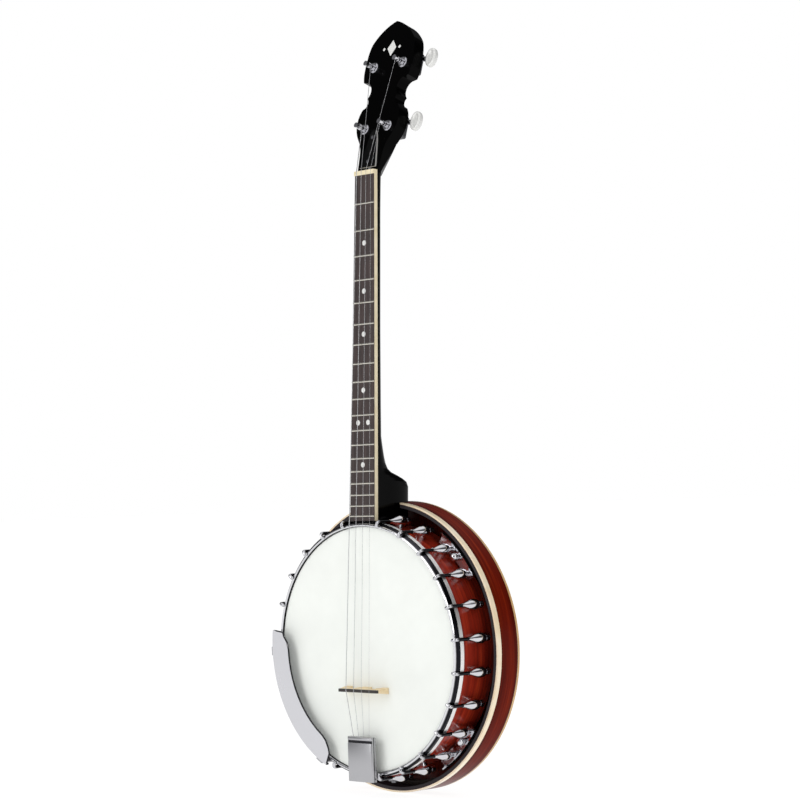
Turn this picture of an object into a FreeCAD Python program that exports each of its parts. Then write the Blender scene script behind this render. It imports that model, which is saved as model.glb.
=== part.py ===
"""Four-string resonator tenor banjo with 19 frets.

Frame: X to the right as the drum head faces the viewer, Y from the head to the back, Z up the
neck to the peghead.  The origin is the centre of the flat middle of the resonator back, on the
axis of the pot.  All sizes are in millimetres.
"""
import FreeCAD, Part
import math
import os

V = FreeCAD.Vector
AX, AY, AZ = V(1, 0, 0), V(0, 1, 0), V(0, 0, 1)

# ---- driving dimensions -------------------------------------------------------------------------
# pot: depths are measured behind the front face of the tension hoop
body_depth = 90.0            # front of the tension hoop to the flat back
head_radius = 136.5          # outside of the head's collar
head_depth = 3.0             # the head lies this far behind the front of the hoop
head_skin = 0.3
hoop_gap = 0.5               # between the head's collar and the tension hoop
hoop_width = 5.2
hoop_height = 6.5
flesh_height = 5.5
tone_ring_height = 6.0
tone_ring_width = 7.0
rim_wall = 17.0
rim_back_depth = 66.0        # back edge of the rim

# tension hooks and their shoes
hooks_each_side = 12
first_hook_angle = 11.4      # from the neck, each side
hook_spacing = 14.65
hook_wire = 4.0
hook_hoop_gap = 0.3
hook_reach = 2.5             # straight part of the claw
hook_end_depth = 50.5
shoe_length = 26.0
shoe_rear_depth = 43.0
shoe_radius = 6.4
shoe_bolt_depth = 33.0
shoe_bolt_diameter = 5.0
nut_across_flats = 7.5
nut_length = 5.5

# resonator
resonator_radius = 163.5
resonator_wall = 6.0
resonator_front_depth = 42.3
resonator_corner_depth = 77.5
back_thickness = 4.0
back_flat_radius = 95.0
binding_height = 6.2
binding_thickness = 2.0
back_binding_height = 3.0
lining_width = 5.0
lining_height = 7.0
notch_clearance = 1.5

# resonator brackets and thumb screws
thumb_angle = 46.5           # from the neck and from the tail, each side
thumb_circle_radius = 146.5
bracket_depth = 46.0
bracket_thickness = 1.6
bracket_lip = 4.0
bracket_rim_gap = 3.5
bracket_wall_gap = 4.0
bracket_long_end = 7.5       # degrees past the hook on the side away from the thumb screw
bracket_short_end = 2.8
thumb_shaft_diameter = 4.0
thumb_head_radius = 4.6
thumb_knurl_radius = 3.6
lug_depth = 53.5
lug_height = 10.0
lug_width = 18.0

# neck, fingerboard and strings
scale_length = 579.4
nut_z = 534.0
neck_lean = 3.0              # degrees that the fingerboard leans back from the plane of the head
fingerboard_end_gap = 1.0    # between the fingerboard and the hoop
fingerboard_depth = 3.1      # end of the fingerboard's face behind the front of the hoop
fingerboard_thickness = 5.0
nut_half_width = 15.6
end_half_width = 19.8
fingerboard_binding_width = 1.8
fret_count = 19
fret_height = 1.0
fret_width = 2.2
nut_thickness = 5.0
nut_above_board = 1.6
neck_depth_nut = 14.4
neck_depth_middle = 13.0
neck_depth_heel = 15.0
heel_depth = 68.0            # back of the heel behind the front of the hoop
dot_frets = (3, 5, 7, 10, 12, 15)
double_dot_fret = 12
dot_radius = 3.0
double_dot_offset = 8.0
bridge_height = 16.0
bridge_half_width = 33.5
cap_half_width = 30.7
cap_height = 2.6
string_spacing_bridge = 12.2
string_spacing_nut = 7.6
string_spacing_tail = 7.7
string_gauges = (0.90, 0.62, 0.42, 0.30)   # from the low side to the high side
truss_rod_diameter = 6.0
truss_rod_length = 330.0
truss_cover_depth = 1.5      # wood strip between the truss rod and the fingerboard

# peghead
peghead_angle = 14.3         # back from the line of the neck
peghead_thickness = 15.5
overlay_thickness = 1.5
post_upper = (23.5, 130.5)   # across and along the peghead
post_lower = (18.6, 53.0)
post_radius = 3.0
post_height = 15.0
worm_offset = 9.8
worm_depth = 4.0             # worm axis behind the back of the peghead
wheel_teeth = 14
button_reach = 25.0          # from post to the middle of the button
button_length = 16.0
button_width = 23.5
button_thickness = 7.6
running_clearance = 0.05

# tailpiece and armrest
tail_front_z = -97.0
tail_length = 49.0
tail_half_width = 19.4
tail_cover_depth = -13.2     # top of the cover, measured behind the front of the hoop
tail_base_depth = -4.6
sheet = 1.2
tail_pin_radius = 1.0
armrest_top_angle = -82.3
armrest_low_angle = -155.5
armrest_inner_radius = 117.5
armrest_outer_radius = 142.8
armrest_depth = -8.6
armrest_sheet = 1.4
armrest_skirt = 4.0

# internal hardware
rod_diameter = 9.5
rod_depth = 40.0
stud_diameter = 6.0
fit_gap = 0.1

# ---- shared helpers -----------------------------------------------------------------------------
hoop_front = -body_depth
rim_radius = head_radius - head_skin
hoop_inner = head_radius + hoop_gap
hoop_outer = hoop_inner + hoop_width
shank_radius = hoop_outer + hook_hoop_gap + hook_wire / 2
rim_inner = rim_radius - rim_wall
hook_angles = [first_hook_angle + hook_spacing * k for k in range(hooks_each_side)]
all_hooks = hook_angles + [-a for a in hook_angles]


def behind(depth):
    """Y of a plane that lies this far behind the front face of the tension hoop."""
    return hoop_front + depth


def cylinder(radius, length, start, direction):
    return Part.makeCylinder(radius, length, start, direction)


def ring(inner, outer, depth_a, depth_b):
    """Flat ring about the pot axis between two depths."""
    start = V(0, behind(depth_a), 0)
    height = depth_b - depth_a
    return cylinder(outer, height, start, AY).cut(cylinder(inner, height, start, AY))


def turned(points):
    """Solid of revolution about the pot axis from (radius, depth) points."""
    wire = Part.makePolygon([V(r, behind(d), 0) for r, d in points + points[:1]])
    return Part.Face(wire).revolve(V(0, 0, 0), AY, 360)


def round_pot(shape, angle):
    """Turn a shape made at the neck side round the pot, clockwise as the head is seen."""
    copy = shape.copy()
    copy.rotate(V(0, 0, 0), AY, angle)
    return copy


def hexagon(across_flats, length, start, direction):
    """Hexagonal bar along direction."""
    radius = across_flats / math.sqrt(3)
    corners = [V(radius * math.cos(math.radians(60 * k)), radius * math.sin(math.radians(60 * k)), 0)
               for k in range(7)]
    bar = Part.Face(Part.makePolygon(corners)).extrude(V(0, 0, length))
    bar.Placement = FreeCAD.Placement(start, FreeCAD.Rotation(AZ, direction))
    return bar


def prism_between(a, b, diameter, sides=8):
    """Straight many-sided bar from a to b."""
    axis = b - a
    corners = [V(diameter / 2 * math.cos(2 * math.pi * k / sides),
                 diameter / 2 * math.sin(2 * math.pi * k / sides), 0) for k in range(sides + 1)]
    bar = Part.Face(Part.makePolygon(corners)).extrude(V(0, 0, axis.Length))
    bar.Placement = FreeCAD.Placement(a, FreeCAD.Rotation(AZ, axis))
    return bar


def box_between(x0, x1, y0, y1, z0, z1):
    return Part.makeBox(x1 - x0, y1 - y0, z1 - z0, V(x0, y0, z0))


def fused(shapes):
    shapes = list(shapes)
    return shapes[0].multiFuse(shapes[1:]) if len(shapes) > 1 else shapes[0]


def group(shapes):
    return Part.makeCompound(list(shapes))


def export(name, shape):
    solids = shape.Solids
    result = solids[0] if len(solids) == 1 else Part.makeCompound(solids)
    result.exportStep(os.path.join("parts", name + ".step"))


# frame of the neck: X across, Y into the wood from the fingerboard's face, Z up the neck
neck_origin = V(0, behind(fingerboard_depth), hoop_outer + fingerboard_end_gap)
neck_turn = FreeCAD.Rotation(AX, -neck_lean)
neck_place = FreeCAD.Placement(neck_origin, neck_turn)
nut_s = (nut_z - neck_origin.z) / math.cos(math.radians(neck_lean))
board_end = nut_s            # the fingerboard ends at the front of the nut
peghead_place = neck_place.multiply(FreeCAD.Placement(
    V(0, fingerboard_thickness, nut_s + nut_thickness), FreeCAD.Rotation(AX, -peghead_angle)))


def on_neck(shape):
    copy = shape.copy()
    copy.Placement = neck_place.multiply(copy.Placement)
    return copy


def on_peghead(shape):
    copy = shape.copy()
    copy.Placement = peghead_place.multiply(copy.Placement)
    return copy


def board_half_width(s):
    return end_half_width + (nut_half_width - end_half_width) * s / nut_s


# ---- pot ----------------------------------------------------------------------------------------
tone_ring_back = head_depth + head_skin + tone_ring_height
flesh_front = hoop_height
flesh_back = flesh_front + flesh_height


def make_rim():
    rim = ring(rim_inner, rim_radius - head_skin, tone_ring_back, rim_back_depth)
    bolt = shoe_bolt_diameter / 2 + fit_gap
    hole = cylinder(bolt, rim_wall + 10, V(0, behind(shoe_bolt_depth), rim_inner - 5), AZ)
    rod = stud_diameter / 2 + fit_gap
    holes = [round_pot(hole, a) for a in all_hooks]
    holes += [cylinder(rod, rim_wall + 10, V(0, behind(rod_depth), z), AZ)
              for z in (rim_inner - 5, -rim_radius - 5)]
    return rim.cut(fused(holes))


def make_tone_ring():
    front = head_depth + head_skin
    outer = rim_radius - head_skin
    ease = 1.5
    return turned([(outer - tone_ring_width, tone_ring_back), (outer, tone_ring_back),
                   (outer, front + ease), (outer - ease, front),
                   (outer - tone_ring_width + ease, front), (outer - tone_ring_width, front + ease)])


def make_drum_head():
    back = flesh_back - 1.0
    return turned([(0, head_depth), (head_radius, head_depth), (head_radius, back),
                   (rim_radius, back), (rim_radius, head_depth + head_skin),
                   (0, head_depth + head_skin)])


def make_tension_hoop():
    """Hoop with a rounded bead along its front edge and a plain skirt behind it."""
    bead = hoop_inner + 1.7
    return turned([(hoop_inner, hoop_height), (hoop_inner, 1.0), (bead - 1.2, 0.3), (bead, 0),
                   (bead + 1.2, 0.3), (bead + 1.8, 1.2), (bead + 2.0, 2.2),
                   (hoop_outer, 3.0), (hoop_outer, hoop_height)])


def make_hook():
    """One hook at the neck side: threaded shank, bend over the hoop and a rounded claw."""
    r = hook_wire / 2
    bend = r + 0.6
    claw_depth = -r - fit_gap / 2
    bend_depth = claw_depth + bend
    shank = cylinder(r, hook_end_depth - bend_depth, V(0, behind(bend_depth), shank_radius), AY)
    elbow_centre = V(0, behind(bend_depth), shank_radius - bend)
    circle = Part.Face(Part.Wire(Part.makeCircle(r, V(0, behind(bend_depth), shank_radius), AY)))
    elbow = circle.revolve(elbow_centre, AX, 90)
    claw_start = V(0, behind(claw_depth), shank_radius - bend)
    claw = cylinder(r, hook_reach, claw_start, -AZ)
    tip = Part.makeSphere(r, claw_start - AZ * hook_reach)
    return fused([shank, elbow, claw, tip])


def make_shoe():
    """Pear-shaped shoe that holds one hook, with a boss that stands on the rim."""
    front = shoe_rear_depth - shoe_length
    profile = [(hook_wire / 2 + 0.5, front), (hook_wire / 2 + 1.4, front + 6),
               (shoe_radius - 0.6, front + 13), (shoe_radius, front + 18),
               (shoe_radius - 0.9, front + 23), (hook_wire / 2 + 1.2, shoe_rear_depth)]
    curve = Part.BSplineCurve()
    curve.interpolate([V(0, behind(d), shank_radius + r) for r, d in profile])
    a, b = V(0, behind(front), shank_radius), V(0, behind(shoe_rear_depth), shank_radius)
    first, last = curve.StartPoint, curve.EndPoint
    wire = Part.Wire([Part.makeLine(a, first), curve.toShape(), Part.makeLine(last, b), Part.makeLine(b, a)])
    body = Part.Face(wire).revolve(V(0, 0, shank_radius), AY, 360)
    boss_base = rim_radius - head_skin
    boss = cylinder(shoe_radius - 0.5, shank_radius - boss_base, V(0, behind(shoe_bolt_depth), boss_base), AZ)
    bore = cylinder(hook_wire / 2 + fit_gap, shoe_length + 2, V(0, behind(front - 1), shank_radius), AY)
    thread = cylinder(shoe_bolt_diameter / 2 + fit_gap, 4, V(0, behind(shoe_bolt_depth), boss_base - 0.1), AZ)
    return body.fuse(boss).cut(bore).cut(thread)


def make_shoe_screw():
    length = rim_wall - head_skin + 3.2
    start = V(0, behind(shoe_bolt_depth), rim_inner - 0.2)
    shank = cylinder(shoe_bolt_diameter / 2, length, start, AZ)
    washer = cylinder(shoe_bolt_diameter, 1.0, start - AZ * 1.0, AZ)
    head = hexagon(shoe_bolt_diameter * 1.6, 3.0, start - AZ * 4.0, AZ)
    return fused([shank, washer, head])


def hook_nut_depth(angle):
    """Hooks that carry a resonator bracket have their nut behind its plate."""
    on_bracket = any(abs(abs(angle) - hook_angles[k]) < 0.01 for k in (2, 3, 8, 9))
    return bracket_depth + bracket_thickness + fit_gap if on_bracket else shoe_rear_depth + fit_gap


def make_hook_nut(angle):
    start = V(0, behind(hook_nut_depth(angle)), shank_radius)
    nut = hexagon(nut_across_flats, nut_length, start, AY)
    corner_trim = Part.makeCone(nut_across_flats / 2 + 2.0, nut_across_flats / 2 + 0.1, nut_length, start, AY)
    nut = nut.common(corner_trim)
    return nut.cut(cylinder(hook_wire / 2 + fit_gap, nut_length + 2, start - AY, AY))


export_list = {}
export_list["rim"] = make_rim()
export_list["tone_ring"] = make_tone_ring()
export_list["drum_head"] = make_drum_head()
export_list["flesh_hoop"] = ring(head_radius, hoop_outer, flesh_front, flesh_back)
export_list["tension_hoop"] = make_tension_hoop()
hook, shoe, shoe_screw = make_hook(), make_shoe(), make_shoe_screw()
export_list["bracket_hooks"] = group(round_pot(hook, a) for a in all_hooks)
export_list["bracket_shoes"] = group(round_pot(shoe, a) for a in all_hooks)
export_list["shoe_screws"] = group(round_pot(shoe_screw, a) for a in all_hooks)
export_list["hook_nuts"] = group(round_pot(make_hook_nut(a), a) for a in all_hooks)

# ---- neck ---------------------------------------------------------------------------------------
heel_back = heel_depth - fingerboard_depth    # depth of the heel below the fingerboard's face
heel_top_s = 46.0                             # the heel's shelf, up the neck from its end


def neck_section(s, half_width, depth, squareness, taper):
    """Closed D-shaped section: flat under the fingerboard, round or square at the back."""
    points = []
    steps = 12
    for k in range(steps + 1):
        angle = math.pi * k / steps
        c, sn = math.cos(angle), math.sin(angle)
        across = math.copysign(abs(c) ** (2 / squareness), c) if abs(c) > 1e-9 else 0.0
        down = abs(sn) ** (2 / squareness) if abs(sn) > 1e-9 else 0.0
        points.append(V(half_width * across * (1 - taper * down), fingerboard_thickness + depth * down, s))
    curve = Part.BSplineCurve()
    curve.interpolate(points)
    return Part.Wire([curve.toShape(), Part.makeLine(points[-1], points[0])])


def make_shaft():
    """Neck from the nut down to the heel: slim shaft, long concave sweep, shelf and deep block."""
    full = heel_back - fingerboard_thickness
    slim, deep = neck_depth_middle, neck_depth_heel
    stations = [(nut_s + nut_thickness, neck_depth_nut, 2.0, 0.0),
                (nut_s - 12.0, neck_depth_nut - 0.7, 2.0, 0.0), (nut_s - 45.0, slim, 2.0, 0.0),
                (nut_s * 0.55, slim, 2.0, 0.0), (130.0, deep - 0.8, 2.0, 0.0),
                (95.0, deep, 2.0, 0.0), (82.0, deep + 3.0, 2.1, 0.0), (72.0, deep + 5.6, 2.2, 0.01),
                (65.0, deep + 8.2, 2.3, 0.03), (59.0, deep + 12.5, 2.4, 0.06), (55.5, deep + 18.0, 2.6, 0.09),
                (52.0, deep + 29.0, 2.9, 0.13), (49.0, full - 8.5, 3.3, 0.17),
                (heel_top_s - 0.5, full - 2.5, 3.8, 0.20), (40.0, full, 4.2, 0.22), (16.0, full, 4.2, 0.22),
                (-10.0, full, 4.2, 0.22)]
    sections = [neck_section(s, board_half_width(min(max(s, 0), nut_s)), d, q, t) for s, d, q, t in stations]
    return Part.makeLoft(sections, True, True)


def peghead_outline():
    """Right half of the outline as edges from the nut to the tip; the left half mirrors it."""
    foot, shoulder = V(nut_half_width + 0.6, 0, -1), V(29.5, 0, 46)
    lobe_side, lobe_top = V(33.6, 0, 62), V(28.5, 0, 79)
    waist_low, cusp = V(22.0, 0, 86), V(24.5, 0, 92)
    waist, upper_inner = V(21.0, 0, 102), V(28.5, 0, 112)
    upper_corner, upper_side = V(36.0, 0, 113.5), V(38.2, 0, 138)
    upper_turn, tip = V(33.6, 0, 161), V(0, 0, 186.0)
    flare = Part.BSplineCurve()
    flare.interpolate([foot, V(nut_half_width + 2.2, 0, 14), V(21.5, 0, 33), shoulder, lobe_side, lobe_top])
    upper = Part.BSplineCurve()
    upper.interpolate([upper_corner, V(38.4, 0, 125), upper_side, V(37.0, 0, 150), upper_turn])
    top = Part.Arc(upper_turn, V(21.2, 0, 174.6), tip)
    return [flare.toShape(), Part.Arc(lobe_top, waist_low, cusp).toShape(),
            Part.Arc(cusp, waist, upper_inner).toShape(), Part.makeLine(upper_inner, upper_corner),
            upper.toShape(), top.toShape()]


def peghead_plate(front, back):
    """Slab with the peghead's outline between two depths below its face."""
    right = peghead_outline()
    left = [edge.mirror(V(0, 0, 0), AX) for edge in right]
    start = right[0].Vertexes[0].Point
    foot = Part.makeLine(V(-start.x, 0, start.z), start)
    wire = Part.Wire(Part.__sortEdges__([foot] + right + left))
    face = Part.Face(wire)
    face.translate(V(0, front, 0))
    slab = face.extrude(V(0, back - front, 0))
    return slab


posts = [(side * across, along) for across, along in (post_lower, post_upper) for side in (-1, 1)]
bushing_radius = 4.4


def make_foot_cuts():
    """Wedges that round the peghead's foot into the back of the neck."""
    start, stop = -4.0, 36.0
    cuts = []
    for side in (-1, 1):
        sections = []
        for v, size in ((start, 11.0), (stop, 0.4)):
            edge = nut_half_width + 0.4 + (6.4 * v / stop if v > 0 else 0)
            back = peghead_thickness
            corner = [V(side * (edge - size), back + 1, v), V(side * (edge + 6), back + 1, v),
                      V(side * (edge + 6), back - size - 6, v), V(side * edge, back - size, v)]
            sections.append(Part.makePolygon(corner + corner[:1]))
        cuts.append(on_peghead(Part.makeLoft(sections, True, True)))
    return fused(cuts)


def make_neck():
    shaft_and_heel = on_neck(make_shaft())
    core = on_peghead(peghead_plate(overlay_thickness, peghead_thickness))
    root = on_neck(box_between(-60, 60, -60, fingerboard_thickness, 0, nut_s + nut_thickness))
    neck = shaft_and_heel.fuse(core.cut(root).cut(make_foot_cuts()))
    for across, along in posts:
        hole = cylinder(bushing_radius + fit_gap, peghead_thickness + 4, V(across, -2, along), AY)
        neck = neck.cut(on_peghead(hole))
    # seat against the pot: clear of the hoops in front, on the rim behind them
    front_cut = cylinder(hoop_outer + 0.6, flesh_back + 0.6 + 40, V(0, behind(-40), 0), AY)
    rim_cut = cylinder(rim_radius - head_skin, 160, V(0, behind(-40), 0), AY)
    neck = neck.cut(front_cut).cut(rim_cut)
    lag = cylinder(stud_diameter / 2 + fit_gap, 40, V(0, behind(rod_depth), rim_radius - 10), AZ)
    channel_top = fingerboard_thickness + truss_cover_depth + truss_rod_diameter + fit_gap
    channel = on_neck(box_between(-truss_rod_diameter / 2 - fit_gap, truss_rod_diameter / 2 + fit_gap,
                                  fingerboard_thickness - 1, channel_top,
                                  nut_s + nut_thickness + 8 - truss_rod_length, nut_s + nut_thickness + 8))
    pocket = on_peghead(box_between(-truss_rod_diameter / 2 - fit_gap, truss_rod_diameter / 2 + fit_gap,
                                    -2, truss_cover_depth + truss_rod_diameter, -2, 24))
    return neck.cut(lag).cut(channel).cut(pocket)


def make_fingerboard(inset, thickness, start, stop):
    def section(s):
        w = board_half_width(s) - inset
        corners = [V(-w, 0, s), V(w, 0, s), V(w, thickness, s), V(-w, thickness, s)]
        return Part.makePolygon(corners + corners[:1])
    return Part.makeLoft([section(start), section(stop)], True, True)


fret_positions = [nut_s - scale_length * (1 - 2 ** (-n / 12)) for n in range(1, fret_count + 1)]


def dot_place(fret):
    """Half-way between a fret and the one above it."""
    upper = fret_positions[fret - 2] if fret > 1 else nut_s
    return (fret_positions[fret - 1] + upper) / 2


def make_dots(radius, depth):
    dots = []
    for fret in dot_frets:
        sides = (-double_dot_offset, double_dot_offset) if fret == double_dot_fret else (0,)
        dots += [cylinder(radius, depth, V(x, 0, dot_place(fret)), AY) for x in sides]
    return dots


def make_frets():
    """Crown with rounded back, seated on the board between the bindings."""
    frets = []
    for s in fret_positions:
        w = board_half_width(s) - 0.4
        rise = fret_height
        arc = Part.Arc(V(0, 0, s - fret_width / 2), V(0, -rise, s), V(0, 0, s + fret_width / 2)).toShape()
        flat = Part.makeLine(V(0, 0, s + fret_width / 2), V(0, 0, s - fret_width / 2))
        crown = Part.Face(Part.Wire([arc, flat]))
        crown.translate(V(-w, 0, 0))
        frets.append(crown.extrude(V(2 * w, 0, 0)))
    return frets


board_inner = make_fingerboard(fingerboard_binding_width, fingerboard_thickness, 0, board_end)
board_outer = make_fingerboard(0, fingerboard_thickness, 0, board_end)
dot_pockets = group(make_dots(dot_radius + 0.02, 1.5))
nut_back = nut_s + nut_thickness
nut_block = box_between(-nut_half_width, nut_half_width, -nut_above_board, fingerboard_thickness,
                        nut_s, nut_back)
nut_slots = [cylinder(g / 2 + fit_gap, nut_thickness + 2,
                      V((k - 1.5) * string_spacing_nut, -nut_above_board, nut_s - 1), AZ)
             for k, g in enumerate(string_gauges)]
export_list["neck"] = make_neck()
export_list["fingerboard"] = on_neck(board_inner.cut(dot_pockets))
export_list["fingerboard_binding"] = on_neck(board_outer.cut(board_inner))
export_list["position_dots"] = group(on_neck(d) for d in make_dots(dot_radius, 1.5))
export_list["frets"] = group(on_neck(f) for f in make_frets())
export_list["nut"] = on_neck(nut_block.cut(group(nut_slots)))
rod_top = nut_back + 4.5
truss_start = nut_back + 8 - truss_rod_length + 1.0
truss = cylinder(truss_rod_diameter / 2, rod_top - truss_start,
                 V(0, fingerboard_thickness + truss_cover_depth + truss_rod_diameter / 2, truss_start), AZ)
export_list["truss_rod"] = on_neck(truss)


def make_overlay():
    slab = peghead_plate(0, overlay_thickness)
    holes = [cylinder(bushing_radius + fit_gap, 6, V(u, -2, v), AY) for u, v in posts]
    pocket_half = truss_rod_diameter / 2 + fit_gap
    holes.append(box_between(-pocket_half, pocket_half, -1, 3, -2, 24))
    slab = slab.cut(fused(holes)).cut(make_ornament(1.0, fit_gap / 5))
    overlay = on_peghead(slab)
    return overlay.cut(on_neck(box_between(-60, 60, -60, 60, 0, nut_back)))


def make_ornament(depth, spare):
    """Plain inlay of the peghead: a lozenge between two small discs."""
    half_w, half_h, middle = 7.0 + spare, 10.0 + spare, 152.0
    corners = [V(0, 0, middle - half_h), V(half_w, 0, middle),
               V(0, 0, middle + half_h), V(-half_w, 0, middle)]
    lozenge = Part.Face(Part.makePolygon(corners + corners[:1])).extrude(V(0, depth, 0))
    discs = [cylinder(1.8 + spare, depth, V(side * 12.5, 0, middle), AY) for side in (-1, 1)]
    return group([lozenge] + discs)


def truss_cover_face(scale):
    """Bell outline of the truss-rod cover."""
    bottom, waist, top = 12.6 * scale, 7.0 * scale, 3.2 * scale
    base, height = 4.0, 44.0
    side = Part.BSplineCurve()
    side.interpolate([V(bottom, 0, base), V(bottom - 1.5, 0, base + 10), V(waist + 1.6, 0, base + 24),
                      V(waist, 0, base + 33), V(top, 0, base + height)])
    mirror = side.toShape().mirror(V(0, 0, 0), AX)
    foot = Part.makeLine(V(-bottom, 0, base), V(bottom, 0, base))
    crown = Part.Arc(V(top, 0, base + height), V(0, 0, base + height + 2.0), V(-top, 0, base + height))
    return Part.Face(Part.Wire(Part.__sortEdges__([foot, side.toShape(), crown.toShape(), mirror])))


cover_plate = truss_cover_face(1.0)
cover_plate.translate(V(0, -2.0, 0))
cover_solid = cover_plate.extrude(V(0, 2.0, 0))
cover_screws = [(0.0, 10.5), (0.0, 40.0)]
cover_holes = [cylinder(1.2, 4, V(u, -3, v), AY) for u, v in cover_screws]
export_list["peghead_overlay"] = make_overlay()
export_list["peghead_inlay"] = on_peghead(make_ornament(1.0, 0))
export_list["truss_rod_cover"] = on_peghead(cover_solid.cut(group(cover_holes)))
screw_solids = []
for u, v in cover_screws:
    screw_head = Part.makeCone(1.1, 2.2, 1.1, V(u, -2.0, v), -AY)
    screw_solids.append(screw_head.fuse(cylinder(1.1, 2.0, V(u, -2.0, v), AY)))
export_list["truss_cover_screws"] = group(on_peghead(s) for s in screw_solids)

# ---- tuners -------------------------------------------------------------------------------------
housing_wall = 1.2
ear_reach = 2.6
housing_half = 8.5
housing_foot = 8.4
housing_head = 8.0
wheel_width = 4.4
housing_height = worm_depth + 4.6
wheel_tip = worm_offset - 2.95
worm_tip = 2.7
shaft_radius = 2.1
bushing_front = 2.6


def tuner_side(across):
    return 1 if across > 0 else -1


def make_housing(across, along):
    """Cast cover over worm and wheel, on the back of the peghead."""
    side = tuner_side(across)
    x0, x1 = across - housing_half, across + housing_half
    z0, z1 = along - housing_foot, along + worm_offset + housing_head
    y0, y1 = peghead_thickness, peghead_thickness + housing_height
    shell = box_between(x0, x1, y0, y1, z0, z1)
    back_edges = [e for e in shell.Edges if e.BoundBox.YMin > y1 - 0.01 or e.BoundBox.YLength > 1]
    shell = shell.makeFillet(2.0, back_edges)
    w = housing_wall
    cavity = box_between(x0 + w, x1 - w, y0 + w, y1 - w, z0 + w, z1 - w)
    worm_y = peghead_thickness + worm_depth
    bore = cylinder(shaft_radius + running_clearance, 40, V(across - side * 2, worm_y, along + worm_offset),
                    AX * side)
    post_bore = cylinder(post_radius + running_clearance, 4, V(across, y0 - 1, along), AY)
    return shell.cut(fused([cavity, bore, post_bore]))


def make_bushing(across, along):
    tube = cylinder(bushing_radius, peghead_thickness - 3, V(across, 0, along), AY)
    washer = cylinder(bushing_radius + 1.9, 0.6, V(across, -0.6, along), AY)
    nut = hexagon(10.0, bushing_front - 0.6, V(across, -bushing_front, along), AY)
    bore = cylinder(post_radius + running_clearance, 60, V(across, -20, along), AY)
    return fused([tube, washer, nut]).cut(bore)


def make_post(across, along):
    """String post, worm wheel and the turns of string that it carries."""
    length = post_height + peghead_thickness + housing_height - housing_wall - 0.4
    post = cylinder(post_radius, length, V(across, -post_height, along), AY)
    waist = cylinder(post_radius + 1, 5.0, V(across, -post_height + 4.0, along), AY)
    waist = waist.cut(cylinder(post_radius - 0.7, 5.0, V(across, -post_height + 4.0, along), AY))
    hole = cylinder(0.8, 20, V(across - 10, -post_height + 6.5, along), AX)
    post = post.cut(waist).cut(hole)
    wheel_y = peghead_thickness + worm_depth - wheel_width / 2
    root = wheel_tip - 1.3
    wheel = cylinder(root, wheel_width, V(across, wheel_y, along), AY)
    tooth = box_between(-0.75, 0.75, wheel_y, wheel_y + wheel_width, root - 0.6, wheel_tip)
    teeth = []
    for k in range(wheel_teeth):
        one = tooth.copy()
        one.rotate(V(0, 0, 0), AY, 360.0 * k / wheel_teeth)
        one.translate(V(across, 0, along))
        teeth.append(one)
    return fused([post, wheel] + teeth)


def make_winding(across, along, gauge):
    """Neat turns of string round the waist of the post, as separate rings."""
    rings = []
    core = post_radius - 0.7
    for k in range(4):
        centre = V(across, -post_height + 4.6 + gauge / 2 + k * (gauge + 0.05), along)
        rings.append(Part.makeTorus(core + gauge / 2 + 0.02, gauge / 2, centre, AY))
    return rings


def make_tuner_shaft(across, along):
    """Worm and its shaft, out to the seat of the button."""
    side = tuner_side(across)
    worm_y, z = peghead_thickness + worm_depth, along + worm_offset
    direction = AX * side
    start = V(across - side * 6.5, worm_y, z)
    end = across + side * (button_reach - button_length / 2)
    core = cylinder(1.8, 13.0, start, direction)
    threads = [Part.makeCone(1.8, worm_tip, 0.6, start + direction * (0.8 + 1.9 * k), direction).fuse(
        Part.makeCone(worm_tip, 1.8, 0.6, start + direction * (1.4 + 1.9 * k), direction)) for k in range(6)]
    journal_start = start + direction * 13.0
    journal = cylinder(shaft_radius, abs(end - journal_start.x) - 3.0, journal_start, direction)
    collar = cylinder(shaft_radius + 1.0, 3.0, V(end - side * 3.5, worm_y, z), direction)
    tang = cylinder(1.4, button_length - 3.0, V(end - side * 1.0, worm_y, z), direction)
    return fused([core, journal, collar, tang] + threads)


def make_button(across, along):
    """Kidney-shaped button with soft edges."""
    side = tuner_side(across)
    worm_y, z = peghead_thickness + worm_depth, along + worm_offset
    x0 = across + side * (button_reach - button_length / 2)
    half = button_width / 2
    points = [V(x0, 0, z), V(x0 + side * 2.2, 0, z + half * 0.72), V(x0 + side * 7.5, 0, z + half),
              V(x0 + side * 12.6, 0, z + half * 0.66), V(x0 + side * button_length, 0, z),
              V(x0 + side * 12.6, 0, z - half * 0.66), V(x0 + side * 7.5, 0, z - half),
              V(x0 + side * 2.2, 0, z - half * 0.72)]
    outline = Part.BSplineCurve()
    outline.interpolate(points, PeriodicFlag=True)
    face = Part.Face(Part.Wire(outline.toShape()))
    face.translate(V(0, worm_y - button_thickness / 2, 0))
    slab = face.extrude(V(0, button_thickness, 0))
    slab = slab.makeFillet(button_thickness * 0.4, [e for e in slab.Edges if e.BoundBox.YLength < 0.01])
    bore = cylinder(1.4, button_length - 3.0, V(x0 - side * 1.0, worm_y, z), AX * side)
    return slab.cut(bore)


def ear_places(across, along):
    x = across - tuner_side(across) * 6.0
    return [(x, along - housing_foot - ear_reach, -1), (x, along + worm_offset + housing_head + ear_reach, 1)]


def make_housing_screws(across, along):
    """Two screws through the housing's corners into the peghead, outside the cavity."""
    screws = []
    for x, z, _ in ear_places(across, along):
        ear_screw = cylinder(1.2, 7.0, V(x, peghead_thickness - 7.0, z), AY)
        head = cylinder(2.2, 1.2, V(x, peghead_thickness + 1.2, z), AY)
        screws.append(fused([ear_screw, cylinder(1.2, 1.2, V(x, peghead_thickness, z), AY), head]))
    return screws


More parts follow.
